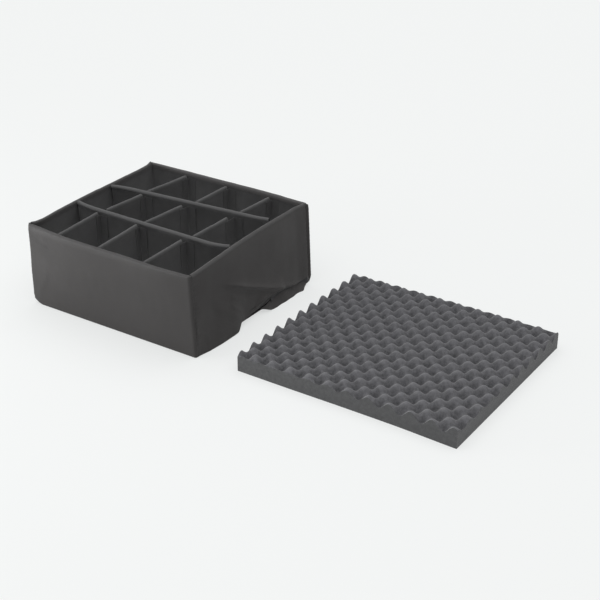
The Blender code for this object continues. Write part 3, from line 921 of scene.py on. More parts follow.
def slab(wall, ends, outer, inner, low, high, relief=None):
    """A flat layer inside a wall as two grids of points."""
    columns = np.linspace(-ends, ends, LINING_COLUMNS)
    rows = np.linspace(low, high, LINING_ROWS)
    height, along = np.meshgrid(rows, columns, indexing="ij")
    cut = corner_cut(along) if wall in ("front", "back") else 0.0
    shift = relief(along, height) if relief else 0.0
    near = to_wall(wall, along, np.maximum(outer, cut + NYLON + FIT_GAP) + shift, height)
    far = to_wall(wall, along, inner + shift, height)
    return layered(stand(near), stand(far))


def notched(shape, wall):
    """Leaves a wall's layer as it is, except that the right wall's foot is cut up over the recess."""
    if wall != "right":
        return shape
    points, faces = shape
    points = np.array(points)
    inside = (points[:, 1] > RECESS_START - GUSSET) & (points[:, 1] < RECESS_END + GUSSET)
    low = inside & (points[:, 2] < GUSSET_TOP + FIT_GAP)
    points[low, 2] = GUSSET_TOP + FIT_GAP
    return points, faces


def wall_layers(looks):
    """The foam core and the loop lining of each wall."""
    for number, wall in enumerate(BOW_SHARES):
        ends = HALF_WIDTH - NYLON - FIT_GAP if wall in ("front", "back") else SIDE_END
        outer = NYLON + FIT_GAP

        def quilted(along, height, seed=FIRST_SEED["linings"] + number):
            middle = np.sin(math.pi * np.clip(height / LINING_TOP, 0.0, 1.0))
            uneven = LINING_UNEVEN * ripple(along, height, "lining", seed)
            return -LINING_SWELL * middle * (1.0 - LINING_UNEVEN + uneven)

        core = slab(wall, ends, outer, outer + WALL_FOAM, WALL_FOOT, TRAY_HEIGHT - CROWN_RISE)
        core = piece(f"{wall}_foam_core", notched(core, wall), looks["core"], "tray",
                     [f"{wall}_foam"])
        reach = ends if wall in ("front", "back") else INNER_Y + LINING / 2
        lining = slab(wall, reach, WALL - LINING, WALL, WALL_FOOT, LINING_TOP, quilted)
        piece(f"{wall}_loop_lining", notched(lining, wall), looks["loop"], "tray",
              [f"{wall}_lining"])


# Base


def plan_outline(inset, notch_x, margin, blunt=CORNER_ROUND):
    """The tray's plan with rounded corners, two of them blunt, and the recess cut out of its right side."""
    half_x = HALF_WIDTH - inset
    half_y = HALF_DEPTH - inset
    start = RECESS_START - margin
    stop = RECESS_END + margin
    corners = ((half_x, -half_y, -90), (half_x, half_y, 0), (-half_x, half_y, 90), (-half_x, -half_y, 180))
    outline = []
    for x, y, first in corners:
        radius = blunt if x * y > 0 else CORNER_ROUND
        centre_x = x - math.copysign(radius, x)
        centre_y = y - math.copysign(radius, y)
        for step in range(CORNER_STEPS + 1):
            angle = math.radians(first + 90 * step / CORNER_STEPS)
            outline.append((centre_x + radius * math.cos(angle), centre_y + radius * math.sin(angle)))
        if x > 0 and y < 0:
            outline += [(half_x, start), (notch_x, start), (notch_x, stop), (half_x, stop)]
    return np.array(outline)


def plate(outline, low, high):
    """A flat layer of the base between two heights, moved with the walls."""
    rings = [np.column_stack([outline, np.full(len(outline), z)]) for z in (low, high)]
    return lofted(stand(np.array(rings)))


def base(looks):
    """The base's cover, board, foam and floor lining."""
    under = plan_outline(FOOT_ROUND, RECESS_INNER_X, 0.0, BLUNT_FOOT)
    inside = plan_outline(WALL + FIT_GAP, GUSSET_INNER_X - FIT_GAP, GUSSET + FIT_GAP)
    piece("base_nylon", plate(under, 0.0, NYLON), looks["nylon"], "tray", ["base_cover"])
    piece("base_stiffener", plate(inside, WALL_FOOT, BOARD_TOP), looks["board"], "tray",
          ["base_board"])
    foam = plate(inside, BASE_FOAM_FOOT, BASE_FOAM_FOOT + BASE_FOAM)
    pad = piece("base_pad", foam, looks["core"], "tray", ["base_foam"])
    piece("floor_loop_lining", plate(inside, FLOOR_FOOT, FLOOR_TOP), looks["loop"], "tray",
          ["floor_lining"])


def gusset(looks):
    """The closed bump over the recess, open downwards and outwards."""
    mouth_x = HALF_WIDTH - NYLON - FIT_GAP

    def opening(x, margin):
        start = RECESS_START - margin
        stop = RECESS_END + margin
        high = RECESS_HEIGHT + margin
        return [(x, start, WALL_FOOT), (x, stop, WALL_FOOT), (x, stop, high), (x, start, high)]

    points = opening(GUSSET_INNER_X, GUSSET) + opening(mouth_x, GUSSET)
    points += opening(RECESS_INNER_X, 0.0) + opening(mouth_x, 0.0)
    back, back_mouth, hollow, hollow_mouth = ([4 * k + i for i in range(4)] for k in range(4))
    faces = [back, hollow]
    for i, j in ((1, 2), (2, 3), (3, 0)):
        faces.append([back[i], back[j], back_mouth[j], back_mouth[i]])
        faces.append([hollow[i], hollow[j], hollow_mouth[j], hollow_mouth[i]])
        faces.append([back_mouth[i], back_mouth[j], hollow_mouth[j], hollow_mouth[i]])
    faces.append([back[0], back[1], back_mouth[1], hollow_mouth[1], hollow[1], hollow[0], hollow_mouth[0],
                  back_mouth[0]])
    made = piece("wheel_recess_gusset", (stand(np.array(points)), faces), looks["nylon"], "tray",
                 ["recess_gusset"])
    work = bmesh.new()
    work.from_mesh(made.data)
    bmesh.ops.bevel(work, geom=work.edges, offset=GUSSET / 4, segments=GUSSET_BEVELS, affect="EDGES")
    work.to_mesh(made.data)
    work.free()


def skirt(looks):
    """The strip behind the raised hem: it slopes out from under the cover to the floor."""
    places = np.linspace(RECESS_END - SKIRT_LAP, SIDE_END - SKIRT_SHORT, SKIRT_COLUMNS)
    share = (places + HALF_DEPTH) / TRAY_DEPTH
    top = HEM_HEIGHT * np.interp(share, HEM_SHARES["place"], HEM_SHARES["height"]) + SKIRT_BEHIND / 2
    foot = FOOT_LIFT + (top - FOOT_LIFT) * SKIRT_TUCK * (1.0 - ease((places - places[0]) / SKIRT_LAP))
    rise = np.linspace(0.0, 1.0, SKIRT_ROWS)[:, None]
    height = foot[None, :] + rise * (top - foot)[None, :]
    along = np.tile(places, (SKIRT_ROWS, 1))
    ends = ease((along - places[0]) / SKIRT_TAPER) * ease((places[-1] - along) / SKIRT_TAPER)
    flare = SKIRT_FLARE * ends * (1.0 - rise) ** SKIRT_CURVE
    uneven = SKIRT_FLARE * SKIRT_UNEVEN * ripple(along, height, "skirt", FIRST_SEED["skirt"])
    slope = flare - SKIRT_BEHIND * ease(rise) + uneven * (1.0 - rise)
    outer = np.stack([HALF_WIDTH + slope, along, height], axis=-1)
    inner = np.stack([HALF_WIDTH + slope - NYLON, along, height], axis=-1)
    piece("right_nylon_skirt", layered(stand(outer), stand(inner)), looks["nylon"], "tray",
          ["right_skirt"], SOFT_CREASE)


# Dividers


def measured(path, places):
    """Points and headings along a plan path at the given distances."""
    run = distances(path)
    heading = read_line(path, run, places + PATH_STEP) - read_line(path, run, places - PATH_STEP)
    return read_line(path, run, places), heading / np.linalg.norm(heading, axis=1)[:, None]


def pad_rings(path, half, low, high, seed):
    """A padded board along a plan path: bulging faces, a rounded top edge and rounded ends."""
    length = distances(path)[-1]
    angles = np.linspace(END_ANGLE, math.pi / 2, END_STEPS)[:-1]
    near = half * (1.0 - np.cos(angles))
    middle = np.linspace(half, length - half, max(3, int(length / PAD_STEP)))
    places = np.concatenate([near, middle, length - near[::-1]])
    widths = np.concatenate([np.sin(angles), np.ones(len(middle)), np.sin(angles[::-1])])
    points, heading = measured(path, places)
    right = np.column_stack([heading[:, 1], -heading[:, 0]])
    rings = []
    for place, width, point, side in zip(places, widths, points, right):
        edge = min(place, length - place)
        drop = PAD_CORNER - math.sqrt(max(PAD_CORNER**2 - max(PAD_CORNER - edge, 0.0) ** 2, 0.0))
        top = high - drop - PAD_WAVER * (1 + float(ripple(place, 0.0, "pad_top", seed))) / 2
        levels = np.linspace(low, top - half, PAD_ROWS)
        share = (levels - low) / (high - low)
        puff = PAD_PUFF * np.sin(math.pi * share) ** PUFF_CURVE * ease(edge / PAD_FADE)
        turn = np.linspace(0.0, math.pi, ARC_STEPS)
        across = np.concatenate([half * width + puff, half * width * np.cos(turn[1:-1]),
                                 -(half * width + puff[::-1])])
        level = np.concatenate([levels, top - half + half * np.sin(turn[1:-1]), levels[::-1]])
        sway = PAD_SWAY * ripple(np.full(len(level), place), level, "pad_face", seed + 3)
        plan = point[None, :] + side[None, :] * (across + sway * ease(edge / PAD_FADE))[:, None]
        rings.append(np.column_stack([plan, level]))
    return np.array(rings)


def tape_rings(path, half, top, leg, seed):
    """The folded tape along a long divider's top edge."""
    length = distances(path)[-1]
    places = np.linspace(0.0, length, max(3, int(length / PAD_STEP)))
    points, heading = measured(path, places)
    right = np.column_stack([heading[:, 1], -heading[:, 0]])
    waver = RIM_WAVER * ripple(places, places * 0.0, "tape", seed)
    rings = []
    for point, side, uneven in zip(points, right, waver):
        section = crown_section(-half, half, top - leg + uneven, top - leg - uneven, top + uneven / 3, NYLON)
        plan = point[None, :] + side[None, :] * section[:, :1]
        rings.append(np.column_stack([plan, section[:, 1]]))
    return np.array(rings)


def lean_out(points, wall):
    """Lets a divider's end follow a wall that leans out, less and less away from that wall."""
    if wall is None:
        return points
    axis = 0 if wall == "left" else 1
    away = INNER_Y - points[..., 1] if wall == "back" else points[..., axis] + (INNER_X, INNER_Y)[axis]
    moved = np.array(points)
    moved[..., axis] += (stand(points) - points)[..., axis] * ease(1.0 - away / LEAN_REACH)
    return moved


def tab_shape(end, heading, half, face, heights, wall=None):
    """A hook tab, sewn to the divider's face near its end and turned along the face that it grips."""
    wall_point, along = face
    side = Vector((heading.y, -heading.x))
    if side.dot(along) < 0:
        side = -side
    inward = Vector((along.y, -along.x))
    if inward.dot(heading) > 0:
        inward = -inward
    off = half + PAD_PUFF / 2 + FIT_GAP + TAB / 2
    sewn = end - heading * TAB_LAP + side * off
    leave = end + side * off
    seat = wall_point + inward * (FIT_GAP + TAB / 2)
    corner = sewn + heading * ((seat - sewn).dot(inward) / heading.dot(inward))
    tip = corner + along * TAB_FLANGE
    bend = min(TAB_BEND, (corner - leave).length * BEND_SHARE)
    path = [sewn, sewn.lerp(leave, 0.5), leave]
    before = corner - heading * bend
    after = corner + along * bend
    for step in range(BEND_STEPS + 1):
        share = step / BEND_STEPS
        path.append(before.lerp(corner, share).lerp(corner.lerp(after, share), share))
    path += [after.lerp(tip, 0.5), tip]
    plan = np.array([tuple(point) for point in path])
    step = np.gradient(plan, axis=0)
    step /= np.linalg.norm(step, axis=1)[:, None]
    right = np.column_stack([step[:, 1], -step[:, 0]])
    rows = np.linspace(*heights, TAB_ROWS)
    faces = []
    for offset in (-TAB / 2, TAB / 2):
        flat = np.tile(plan + right * offset, (TAB_ROWS, 1, 1))
        level = np.tile(rows[:, None, None], (1, len(plan), 1))
        faces.append(lean_out(np.concatenate([flat, level], axis=-1), wall))
    return layered(*faces)


def long_ends(place):
    """Where a long divider's line meets the left and the right wall."""
    left_share, right_share = LONG_SHARES[place][:2]
    left = Vector((-INNER_X, INNER_Y * (2 * left_share - 1)))
    right = Vector((INNER_X, INNER_Y * (2 * right_share - 1)))
    return left, right


def long_path(place):
    """A long divider's centre line: straight, with both ends curling off the line."""
    left, right = long_ends(place)
    along = (right - left).normalized()
    across = Vector((-along.y, along.x))
    left_curl, right_curl, right_room = LONG_SHARES[place][2:]
    start = left + along * (LONG_END_GAP + TAPE_PROUD)
    finish = right - along * (TAB_REACH * right_room)

    def curled(end, inward, curl, share):
        """A point of a curled end, from its inner end at 0 to its tip at 1."""
        return end + inward * CURL_LENGTH * (1 - share) + across * CURL_LENGTH * curl * share**2

    path = [curled(start, along, left_curl, 1 - step / CURL_STEPS) for step in range(CURL_STEPS)]
    path += [start + along * CURL_LENGTH, finish - along * CURL_LENGTH]
    path += [curled(finish, -along, right_curl, step / CURL_STEPS) for step in range(1, CURL_STEPS + 1)]
    return path


def rim_face_x(y):
    """The innermost reach of the right wall's rim at this place, where a lifted divider passes it."""
    point = np.array([HALF_WIDTH - WALL - TAPE_PROUD, y, TRAY_HEIGHT])
    return float(stand(point)[0])


def long_divider(place, number, looks):
    """A long divider's board, the tape over its top edge and a hook tab at each end."""
    path = long_path(place)
    plan = np.array([tuple(point) for point in path])
    name = f"long_divider_{place}"
    board_top = LONG_TOP - NYLON - FIT_GAP
    pad = pad_rings(plan, LONG_FOAM / 2, DIVIDER_FOOT, board_top, FIRST_SEED["long_pads"] + number)
    pad = lofted(lean_out(pad, "left"))
    pad = piece(f"{name}_board", pad, looks["divider"], name, [f"{name}_pad"], SOFT_CREASE)
    tape_seed = FIRST_SEED["long_tapes"] + number
    tape = tape_rings(plan, LONG_HALF + PAD_PUFF / 2, LONG_TOP, LONG_TAPE_LEG, tape_seed)
    tape = lofted(lean_out(tape, "left"))
    piece(f"{name}_top_tape", tape, looks["tape"], name, [f"{name}_tape"], TAPE_CREASE)
    top = LONG_TOP - LONG_TAPE_LEG - FIT_GAP
    left_face = (Vector((-INNER_X, 0.0)), Vector((0.0, 1.0)))
    rim_x = rim_face_x(path[-1].y)
    slope = Vector((rim_x - rim_face_x(path[-1].y - TAB_FLANGE), TAB_FLANGE)).normalized()
    right_face = (Vector((rim_x, path[-1].y)), -slope)
    left_heading = (path[0] - path[1]).normalized()
    right_heading = (path[-1] - path[-2]).normalized()
    left = tab_shape(path[0], left_heading, LONG_FOAM / 2, left_face, (DIVIDER_FOOT, top), "left")
    right = tab_shape(path[-1], right_heading, LONG_FOAM / 2, right_face, (GUSSET_TOP + FIT_GAP, top))
    for side, tab in (("left", left), ("right", right)):
        piece(f"{name}_{side}_hook_tab", tab, looks["hook"], name, [f"{name}_{side}_tab"])


def row_faces(row):
    """What a row's dividers meet at their near and far ends: a point and a direction for each."""
    level = Vector((1.0, 0.0))
    front_wall = (Vector((0.0, -INNER_Y)), level)
    back_wall = (Vector((0.0, INNER_Y)), level)
    faces = {}
    for place in LONG_SHARES:
        left, right = long_ends(place)
        along = (right - left).normalized()
        across = Vector((-along.y, along.x)) * (LONG_HALF + PAD_PUFF / 4)
        faces[place] = ((left - across, along), (left + across, along))
    return {
        "front": (front_wall, faces["front"][0]),
        "middle": (faces["front"][1], faces["back"][0]),
        "back": (faces["back"][1], back_wall),
    }[row]


def crossing(face, x):
    """The point of a face's line at this x."""
    point, along = face
    return point + along * ((x - point.x) / along.x)


def short_divider(place, number, looks):
    """A short divider's board and a hook tab at each end."""
    row = place.split("_")[0]
    near_face, far_face = row_faces(row)
    near_share, far_share, near_space, far_space = SHORT_SHARES[place]
    near = crossing(near_face, INNER_X * (2 * near_share - 1))
    far = crossing(far_face, INNER_X * (2 * far_share - 1))
    heading = (far - near).normalized()
    start = near + heading * (TAB_REACH * near_space)
    finish = far - heading * (TAB_REACH * far_space)
    half = SHORT_FOAM / 2
    name = f"short_divider_{place}"
    plan = np.array([tuple(start), tuple(finish)])
    pad = pad_rings(plan, half, DIVIDER_FOOT, SHORT_TOP, FIRST_SEED["short_pads"] + number)
    wall = row if row in BOW_SHARES else None
    pad = lofted(lean_out(pad, wall))
    pad = piece(f"{name}_board", pad, looks["divider"], name, [f"{name}_pad"], SOFT_CREASE)
    heights = (DIVIDER_FOOT, SHORT_TOP - SHORT_FOAM)
    for side, end, way, face in (("near", start, -heading, near_face), ("far", finish, heading, far_face)):
        tab = tab_shape(end, way, half, face, heights, wall)
        piece(f"{name}_{side}_hook_tab", tab, looks["hook"], name, [f"{name}_{side}_tab"])


# Egg-crate foam


def crate_height(x, y):
    """The sheet's upper surface at places measured from the middle of the sheet."""
    across = x / (SHEET_WIDTH / 2)
    back = y / (SHEET_DEPTH / 2)
    wave = 1.0
    for place, pitch, shares in ((x, CRATE_PITCH_ACROSS, CRATE_ACROSS_SHARES),
                                 (y, CRATE_PITCH_BACK, CRATE_BACK_SHARES)):
        drift = sum(share * across**i * back**j for (i, j), share in shares.items())
        wave = wave * np.cos(math.tau * (place / pitch + drift))
    middle = (PEAK_HEIGHT + VALLEY_HEIGHT) / 2
    return middle + (PEAK_HEIGHT - VALLEY_HEIGHT) / 2 * wave


def crate_sheet(looks):
    """The foam sheet: flat below, cut straight down its sides, peaks and valleys above."""
    columns = np.linspace(0.0, 1.0, int(SHEET_WIDTH / SHEET_STEP) + 1)
    rows = np.linspace(0.0, 1.0, int(SHEET_DEPTH / SHEET_STEP) + 1)
    across, back = np.meshgrid(columns, rows)
    drift = {name: EDGE_DRIFT * read_shares(EDGE_SHARES[name], along)
             for name, along in (("front", across), ("back", across), ("left", back), ("right", back))}
    x = SHEET_WIDTH * (across - 0.5) + drift["left"] * (1.0 - across) + drift["right"] * across
    y = SHEET_DEPTH * (back - 0.5) + drift["front"] * (1.0 - back) + drift["back"] * back
    top = np.stack([x + SHEET_MIDDLE_X, y + SHEET_MIDDLE_Y, crate_height(x, y)], axis=-1)
    top = top.reshape(-1, 3)
    faces = grid_faces(len(rows), len(columns), 0, False)
    upper = grid_border(len(rows), len(columns))
    rings = [top[upper] * (1, 1, 1 - share) for share in np.linspace(0.0, 1.0, SIDE_ROWS)[1:]]
    points = np.concatenate([top, *rings])
    start = len(top)
    for ring in rings:
        lower = list(range(start, start + len(ring)))
        faces += band_faces(upper, lower)
        upper = lower
        start += len(ring)
    faces.append(upper)
    sheet = piece("lid_egg_crate_foam", (points, faces), looks["crate"], "lid_foam",
                  ["lid_foam_sheet"], CRATE_CREASE)


# Stitching


def cover_stitches(made, looks):
    """Stitch rows beside the covers' upright seams and along the raised hem."""
    shapes = []
    for name in ("right", "left"):
        outer, inner = made[name]
        out = outer - inner
        for column in (SEAM_COLUMN, -1 - SEAM_COLUMN):
            shapes.append(stitch_row(outer[SEAM_FOOT_ROW:, column], out[SEAM_FOOT_ROW:, column]))
    outer, inner = made["right"]
    shapes.append(stitch_row(outer[HEM_ROW], (outer - inner)[HEM_ROW]))
    piece("cover_stitches", joined(shapes), looks["thread"], "tray")


def rim_stitches(made, looks):
    """One row of stitches near each leg's edge of every rim tape."""
    shapes = []
    for rings in made.values():
        half = rings.shape[1] // 2
        for at, other in ((STITCH_RING, 2 * half - 1 - STITCH_RING),
                          (half - 1 - STITCH_RING, half + STITCH_RING)):
            off = rings[:, at] - rings[:, other]
            shapes.append(stitch_row(rings[STITCH_END:-STITCH_END, at], off[STITCH_END:-STITCH_END]))
    piece("rim_stitches", joined(shapes), looks["thread"], "tray")


# Materials


def new_look(name, colour):
    """A material with its shader, and its object coordinates to hang patterns on."""
    roughness, sheen = SURFACES[name]
    material = bpy.data.materials.new(name)
    material.use_nodes = True
    tree = material.node_tree
    shader = tree.nodes["Principled BSDF"]
    shader.inputs["Base Color"].default_value = (*colour, 1.0)
    shader.inputs["Roughness"].default_value = roughness
    shader.inputs["Sheen Weight"].default_value = sheen
    shader.inputs["Sheen Roughness"].default_value = SHEEN_ROUGHNESS
    shader.inputs["Specular IOR Level"].default_value = CLOTH_SPECULAR
    place = tree.nodes.new("ShaderNodeTexCoord").outputs["Object"]
    return material, tree, shader, place


def noise(tree, place, scale, detail):
    """Soft random patches, from 0 to 1."""
    node = tree.nodes.new("ShaderNodeTexNoise")
    node.inputs["Scale"].default_value = scale
    node.inputs["Detail"].default_value = detail
    tree.links.new(place, node.inputs["Vector"])
    return node.outputs["Fac"]


def stretched(tree, value, low, high):
    """Maps a value from 0 to 1 on to a range."""
    node = tree.nodes.new("ShaderNodeMapRange")
    node.inputs["To Min"].default_value = low
    node.inputs["To Max"].default_value = high
    tree.links.new(value, node.inputs["Value"])
    return node.outputs["Result"]


def reckon(tree, kind, first, second):
    """The sum, product or other outcome of two values, each a number or a socket."""
    node = tree.nodes.new("ShaderNodeMath")
    node.operation = kind
    for socket, value in zip(node.inputs, (first, second)):
        if isinstance(value, float):
            socket.default_value = value
        else:
            tree.links.new(value, socket)
    return node.outputs[0]


def plus(tree, first, second):
    return reckon(tree, "ADD", first, second)


def times(tree, first, second):
    return reckon(tree, "MULTIPLY", first, second)


def colour_mix(tree, value):
    """A mix of two colours that follows a value: its two colour sockets and its result."""
    mix = tree.nodes.new("ShaderNodeMix")
    mix.data_type = "RGBA"
    tree.links.new(value, mix.inputs["Factor"])
    return mix.inputs["A"], mix.inputs["B"], mix.outputs["Result"]


def clouded(tree, colour, value, spread):
    """A colour made darker and lighter by a share, following a value from 0 to 1."""
    dark, light, result = colour_mix(tree, value)
    dark.default_value = (*(channel * (1 - spread) for channel in colour), 1.0)
    light.default_value = (*(channel * (1 + spread) for channel in colour), 1.0)
    return result


def blotch(tree, shader, colour, value, spread):
    """Gives a material its clouded colour."""
    tree.links.new(clouded(tree, colour, value, spread), shader.inputs["Base Color"])


def bump(tree, shader, value, strength, depth):
    """Gives a material a fine relief."""
    node = tree.nodes.new("ShaderNodeBump")
    node.inputs["Strength"].default_value = strength
    node.inputs["Distance"].default_value = depth
    tree.links.new(value, node.inputs["Height"])
    tree.links.new(node.outputs["Normal"], shader.inputs["Normal"])


def risen(tree, place, low, high):
    """0 up to one height, 1 from another, and even in between."""
    parts = tree.nodes.new("ShaderNodeSeparateXYZ")
    tree.links.new(place, parts.inputs["Vector"])
    node = tree.nodes.new("ShaderNodeMapRange")
    node.inputs["From Min"].default_value = low
    node.inputs["From Max"].default_value = high
    tree.links.new(parts.outputs["Z"], node.inputs["Value"])
    return node.outputs["Result"]


def threads(tree, place, pitch, axis):
    """Fine parallel threads' height, from -0.5 to 0.5: one above another, or round the walls."""
    parts = tree.nodes.new("ShaderNodeSeparateXYZ")
    tree.links.new(place, parts.inputs["Vector"])
    if axis == "height":
        run = parts.outputs["Z"]
    else:
        run = plus(tree, parts.outputs["X"], parts.outputs["Y"])
    wave = reckon(tree, "SINE", times(tree, run, math.tau / pitch), 0.0)
    return times(tree, wave, 0.5)


def woven(tree, place, pitch):
    """A plain weave's height, from -0.5 to 0.5: threads that pass over and under each other."""
    up = threads(tree, place, pitch, "height")
    round_wall = threads(tree, place, pitch, "round")
    return times(tree, times(tree, up, round_wall), 2.0)


def nylon_look():
    """Coated pack cloth: a fine weave, a soft sheen, faint rubs and clouds."""
    material, tree, shader, place = new_look("nylon_pack_cloth", NYLON_COLOUR)
    blotch(tree, shader, NYLON_COLOUR, noise(tree, place, *NYLON_CLOUDS), NYLON_SPREAD)
    gloss = stretched(tree, noise(tree, place, *NYLON_GLOSS), *NYLON_ROUGHNESS)
    tree.links.new(gloss, shader.inputs["Roughness"])
    grain = times(tree, noise(tree, place, *NYLON_GRAIN), GRAIN_SHARE)
    bump(tree, shader, plus(tree, woven(tree, place, WEAVE_PITCH), grain), NYLON_BUMP, WEAVE_PITCH / 3)
    return material


def rib_look(name, colour, pitch):
    """Woven tape: ribs across it, and a little fluff."""
    material, tree, shader, place = new_look(name, colour)
    blotch(tree, shader, colour, noise(tree, place, *TAPE_CLOUDS), TAPE_SPREAD)
    ribs = threads(tree, place, pitch, "round")
    fluff = times(tree, noise(tree, place, *TAPE_FLUFF), FLUFF_SHARE)
    bump(tree, shader, plus(tree, ribs, fluff), TAPE_BUMP, pitch / 4)
    return material


def painted_fill_light_below(tree, place):
    """1 at the tray's floor and 0 at the top of its lining: painted fill light, which makes a cloth paler
    the lower it lies, against the shade down in the tray.
    """
    return reckon(tree, "SUBTRACT", 1.0, risen(tree, place, FLOOR_TOP, LINING_TOP))


def loop_look(name, colour, pale_top):
    """Brushed loop cloth: a tangled pile, painted paler towards the floor as painted fill light against the
    shade down in the tray, and painted paler above a height as a painted highlight where a top edge catches
    the light.
    """
    material, tree, shader, place = new_look(name, colour)
    pile = noise(tree, place, *PILE)
    patches = noise(tree, place, *PILE_PATCHES)
    # A painted highlight: the cloth is painted paler just below a divider's top edge, where the light
    # catches it
    painted_top_highlight = risen(tree, place, pale_top - SHORT_FOAM, pale_top - SHORT_FOAM / 2)
    total = times(tree, pile, PILE_SHARE)
    for value, share in ((patches, PATCH_SHARE), (painted_fill_light_below(tree, place), PAINTED_FILL_SHARE), (painted_top_highlight, PAINTED_HIGHLIGHT_SHARE)):
        total = plus(tree, total, times(tree, value, share))
    blotch(tree, shader, colour, total, PILE_SPREAD)
    tufts = times(tree, noise(tree, place, *PILE_TUFTS), TUFT_SHARE)
    bump(tree, shader, plus(tree, pile, tufts), PILE_BUMP, PILE_HEIGHT)
    return material


def hook_look():
    """Hook tape: a band set with rows of small hooks, painted paler towards the floor as painted fill light
    against the shade down in the tray.
    """
    material, tree, shader, place = new_look("hook_tape_cloth", HOOK_COLOUR)
    rows = threads(tree, place, HOOK_PITCH, "height")
    files = threads(tree, place, HOOK_PITCH, "round")
    dots = times(tree, plus(tree, rows, files), 0.5)
    total = times(tree, plus(tree, dots, 0.5), DOT_SHARE)
    # painted fill light: paler towards the floor, against the shade down in the tray
    total = plus(tree, total, times(tree, painted_fill_light_below(tree, place), PAINTED_FILL_SHARE))
    blotch(tree, shader, HOOK_COLOUR, total, PILE_SPREAD)
    bump(tree, shader, dots, HOOK_BUMP, HOOK_PITCH / 2)
    return material


def pitted(tree, place, cell):
    """The pits of cut foam cells, and the same with broader clouds added."""
    cells = tree.nodes.new("ShaderNodeTexVoronoi")
    cells.inputs["Scale"].default_value = 1.0 / cell
    tree.links.new(place, cells.inputs["Vector"])
    grain, clouds = (noise(tree, place, rate / cell, detail) for rate, detail in (FOAM_GRAIN, FOAM_CLOUDS))
    pits = times(tree, plus(tree, cells.outputs["Distance"], grain), PIT_SHARE)
    return pits, plus(tree, pits, stretched(tree, clouds, -CLOUD_SHARE, CLOUD_SHARE))


def core_look():
    """Closed-cell foam inside the walls and the base."""
    material, tree, shader, place = new_look("closed_cell_foam", CORE_COLOUR)
    pits, clouds = pitted(tree, place, CORE_CELL)
    blotch(tree, shader, CORE_COLOUR, clouds, CORE_SPREAD)
    bump(tree, shader, pits, FOAM_BUMP, CORE_CELL / 4)
    return material


def crate_look():
    """Open-cell foam: even cut sides in a colour of their own, set a little darker as painted shade, and a
    moulded top painted paler on its peaks and darker in its valleys, as painted light and shade.
    """
    material, tree, shader, place = new_look("open_cell_foam", CRATE_COLOUR)
    pits, clouds = pitted(tree, place, CRATE_CELL)
    facing = tree.nodes.new("ShaderNodeNewGeometry")
    sides, top, result = colour_mix(tree, risen(tree, facing.outputs["True Normal"], *SIDE_FACING))
    # the cut sides take their colour, set a little darker as painted shade
    tree.links.new(clouded(tree, CRATE_SIDE_COLOUR_AND_PAINTED_SHADE, clouds, CRATE_SIDE_SPREAD), sides)
    # Painted light and shade: the peaks are painted paler and the valleys darker
    high = stretched(tree, risen(tree, place, VALLEY_HEIGHT, PEAK_HEIGHT), -PAINTED_CREST_SHARE, PAINTED_CREST_SHARE)
    tree.links.new(clouded(tree, CRATE_COLOUR, plus(tree, clouds, high), CRATE_SPREAD), top)
    tree.links.new(result, shader.inputs["Base Color"])
    bump(tree, shader, pits, FOAM_BUMP, CRATE_CELL / 2)
    return material


def board_look():
    """Pressed board: nearly smooth, with a faint grain."""
    material, tree, shader, place = new_look("stiffener_board", BOARD_COLOUR)
    grain = noise(tree, place, *BOARD_GRAIN)
    blotch(tree, shader, BOARD_COLOUR, grain, BOARD_SPREAD)
    bump(tree, shader, grain, BOARD_BUMP, BOARD_RELIEF)
    return material


def floor_look():
    """A pale matt floor. The camera sees most of it as the plain backdrop, with a faint shadow."""
    material, tree, shader, _ = new_look("studio_floor", FLOOR_COLOUR)
    shader.inputs["Specular IOR Level"].default_value = 0.0
    plain = tree.nodes.new("ShaderNodeEmission")
    plain.inputs["Color"].default_value = (*BACKDROP_COLOUR, 1.0)
    seen = tree.nodes.new("ShaderNodeLightPath").outputs["Is Camera Ray"]
    unseen_colour, seen_colour, result = colour_mix(tree, seen)
    unseen_colour.default_value = (*FLOOR_COLOUR, 1.0)
    seen_colour.default_value = (*SEEN_FLOOR_COLOUR, 1.0)
    tree.links.new(result, shader.inputs["Base Color"])
    share = times(tree, seen, BACKDROP_SHARE)
    mix = tree.nodes.new("ShaderNodeMixShader")
    tree.links.new(share, mix.inputs["Fac"])
    tree.links.new(shader.outputs["BSDF"], mix.inputs[1])
    tree.links.new(plain.outputs["Emission"], mix.inputs[2])
    tree.links.new(mix.outputs["Shader"], tree.nodes["Material Output"].inputs["Surface"])
    return material


def all_looks():
    """Every material of the set, by a short name."""
    return {
        "nylon": nylon_look(),
        "rim": rib_look("rim_tape_cloth", RIM_COLOUR, RIB_PITCH),
        # the rim tape again, painted paler as painted light for the back rim
        "rear_rim_painted_light": rib_look("rear_rim_tape_painted_light", REAR_RIM_PAINTED_LIGHT_COLOUR, RIB_PITCH),
        "tape": rib_look("divider_tape_cloth", TAPE_COLOUR, RIB_PITCH),
        "loop": loop_look("loop_lining_cloth", LOOP_COLOUR, TRAY_HEIGHT),
        "divider": loop_look("divider_loop_cloth", DIVIDER_COLOUR, SHORT_TOP),
        "hook": hook_look(),
        "core": core_look(),
        "crate": crate_look(),
        "board": board_look(),
        "thread": rib_look("sewing_thread", THREAD_COLOUR, TWIST_PITCH),
    }


# Studio


def lamp(name, kind, strength, way):
    """A lamp that shines from the given way towards the object."""
    light = bpy.data.lights.new(name, kind)
    light.energy = strength
    made = bpy.data.objects.new(name, light)
    made.rotation_mode = "QUATERNION"
    made.rotation_quaternion = way.to_track_quat("Z", "Y")
    made.visible_camera = False
    bpy.context.scene.collection.objects.link(made)
    return made


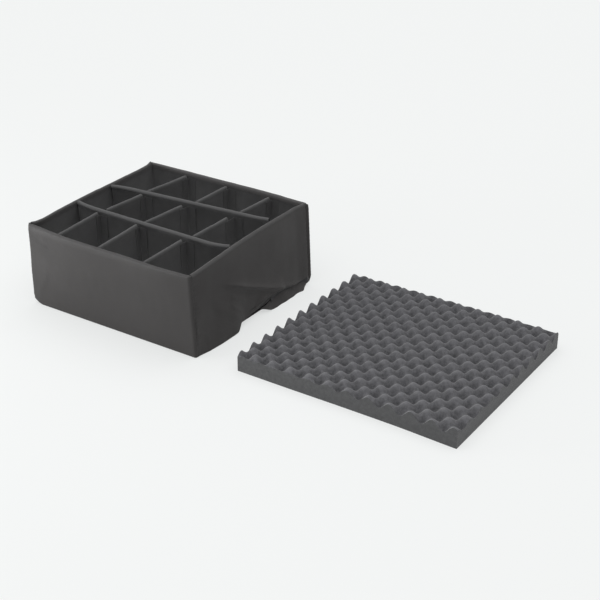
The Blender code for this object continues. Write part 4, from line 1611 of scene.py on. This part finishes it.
def studio():
    """A pale floor, an even sky, a broad light from above and a panel to the front left."""
    half = FLOOR_SIDE / 2
    mesh = bpy.data.meshes.new("studio_floor")
    corners = [(-half, -half, 0), (half, -half, 0), (half, half, 0), (-half, half, 0)]
    mesh.from_pydata(corners, [], [(0, 1, 2, 3)])
    mesh.materials.append(floor_look())
    floor = bpy.data.objects.new("studio_floor", mesh)
    bpy.context.scene.collection.objects.link(floor)
    lamp("top_light", "SUN", TOP_STRENGTH, Vector((0.0, 0.0, 1.0))).data.angle = TOP_SPREAD
    key = lamp("key_light", "AREA", KEY_POWER, Vector(KEY_PLACE) - Vector(KEY_AIM))
    key.location = KEY_PLACE
    key.data.shape = "RECTANGLE"
    key.data.size = KEY_WIDTH
    key.data.size_y = KEY_HEIGHT
    world = bpy.data.worlds.new("studio")
    world.use_nodes = True
    sky = world.node_tree.nodes["Background"]
    sky.inputs["Color"].default_value = (1.0, 1.0, 1.0, 1.0)
    sky.inputs["Strength"].default_value = WORLD_LIGHT
    bpy.context.scene.world = world
    bpy.context.scene.view_settings.view_transform = "Standard"


def camera():
    """The camera, fitted to the corners of the tray and of the sheet."""
    ahead = Vector((
        math.cos(CAMERA_HEADING) * math.cos(CAMERA_PITCH),
        math.sin(CAMERA_HEADING) * math.cos(CAMERA_PITCH),
        -math.sin(CAMERA_PITCH),
    ))
    level = Vector((math.sin(CAMERA_HEADING), -math.cos(CAMERA_HEADING), 0.0))
    upright = level.cross(ahead)
    right = level * math.cos(CAMERA_ROLL) + upright * math.sin(CAMERA_ROLL)
    up = upright * math.cos(CAMERA_ROLL) - level * math.sin(CAMERA_ROLL)
    turn = Matrix((right, up, -ahead)).transposed()
    lens = bpy.data.cameras.new("camera")
    lens.sensor_width = SENSOR_WIDTH
    lens.lens = FOCAL_PIXELS / PICTURE_PIXELS * SENSOR_WIDTH
    lens.clip_end = FLOOR_SIDE
    made = bpy.data.objects.new("camera", lens)
    made.matrix_world = Matrix.Translation(CAMERA_PLACE) @ turn.to_4x4()
    bpy.context.scene.collection.objects.link(made)
    bpy.context.scene.camera = made


def main():
    """Builds the set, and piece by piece."""
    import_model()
    camera()
    studio()
    looks = all_looks()
    base(looks)
    gusset(looks)
    wall_layers(looks)
    made = covers(looks)
    skirt(looks)
    tapes = rims(looks)
    for number, place in enumerate(LONG_SHARES):
        long_divider(place, number, looks)
    for number, place in enumerate(SHORT_SHARES):
        short_divider(place, number, looks)
    crate_sheet(looks)
    cover_stitches(made, looks)
    rim_stitches(tapes, looks)


main()
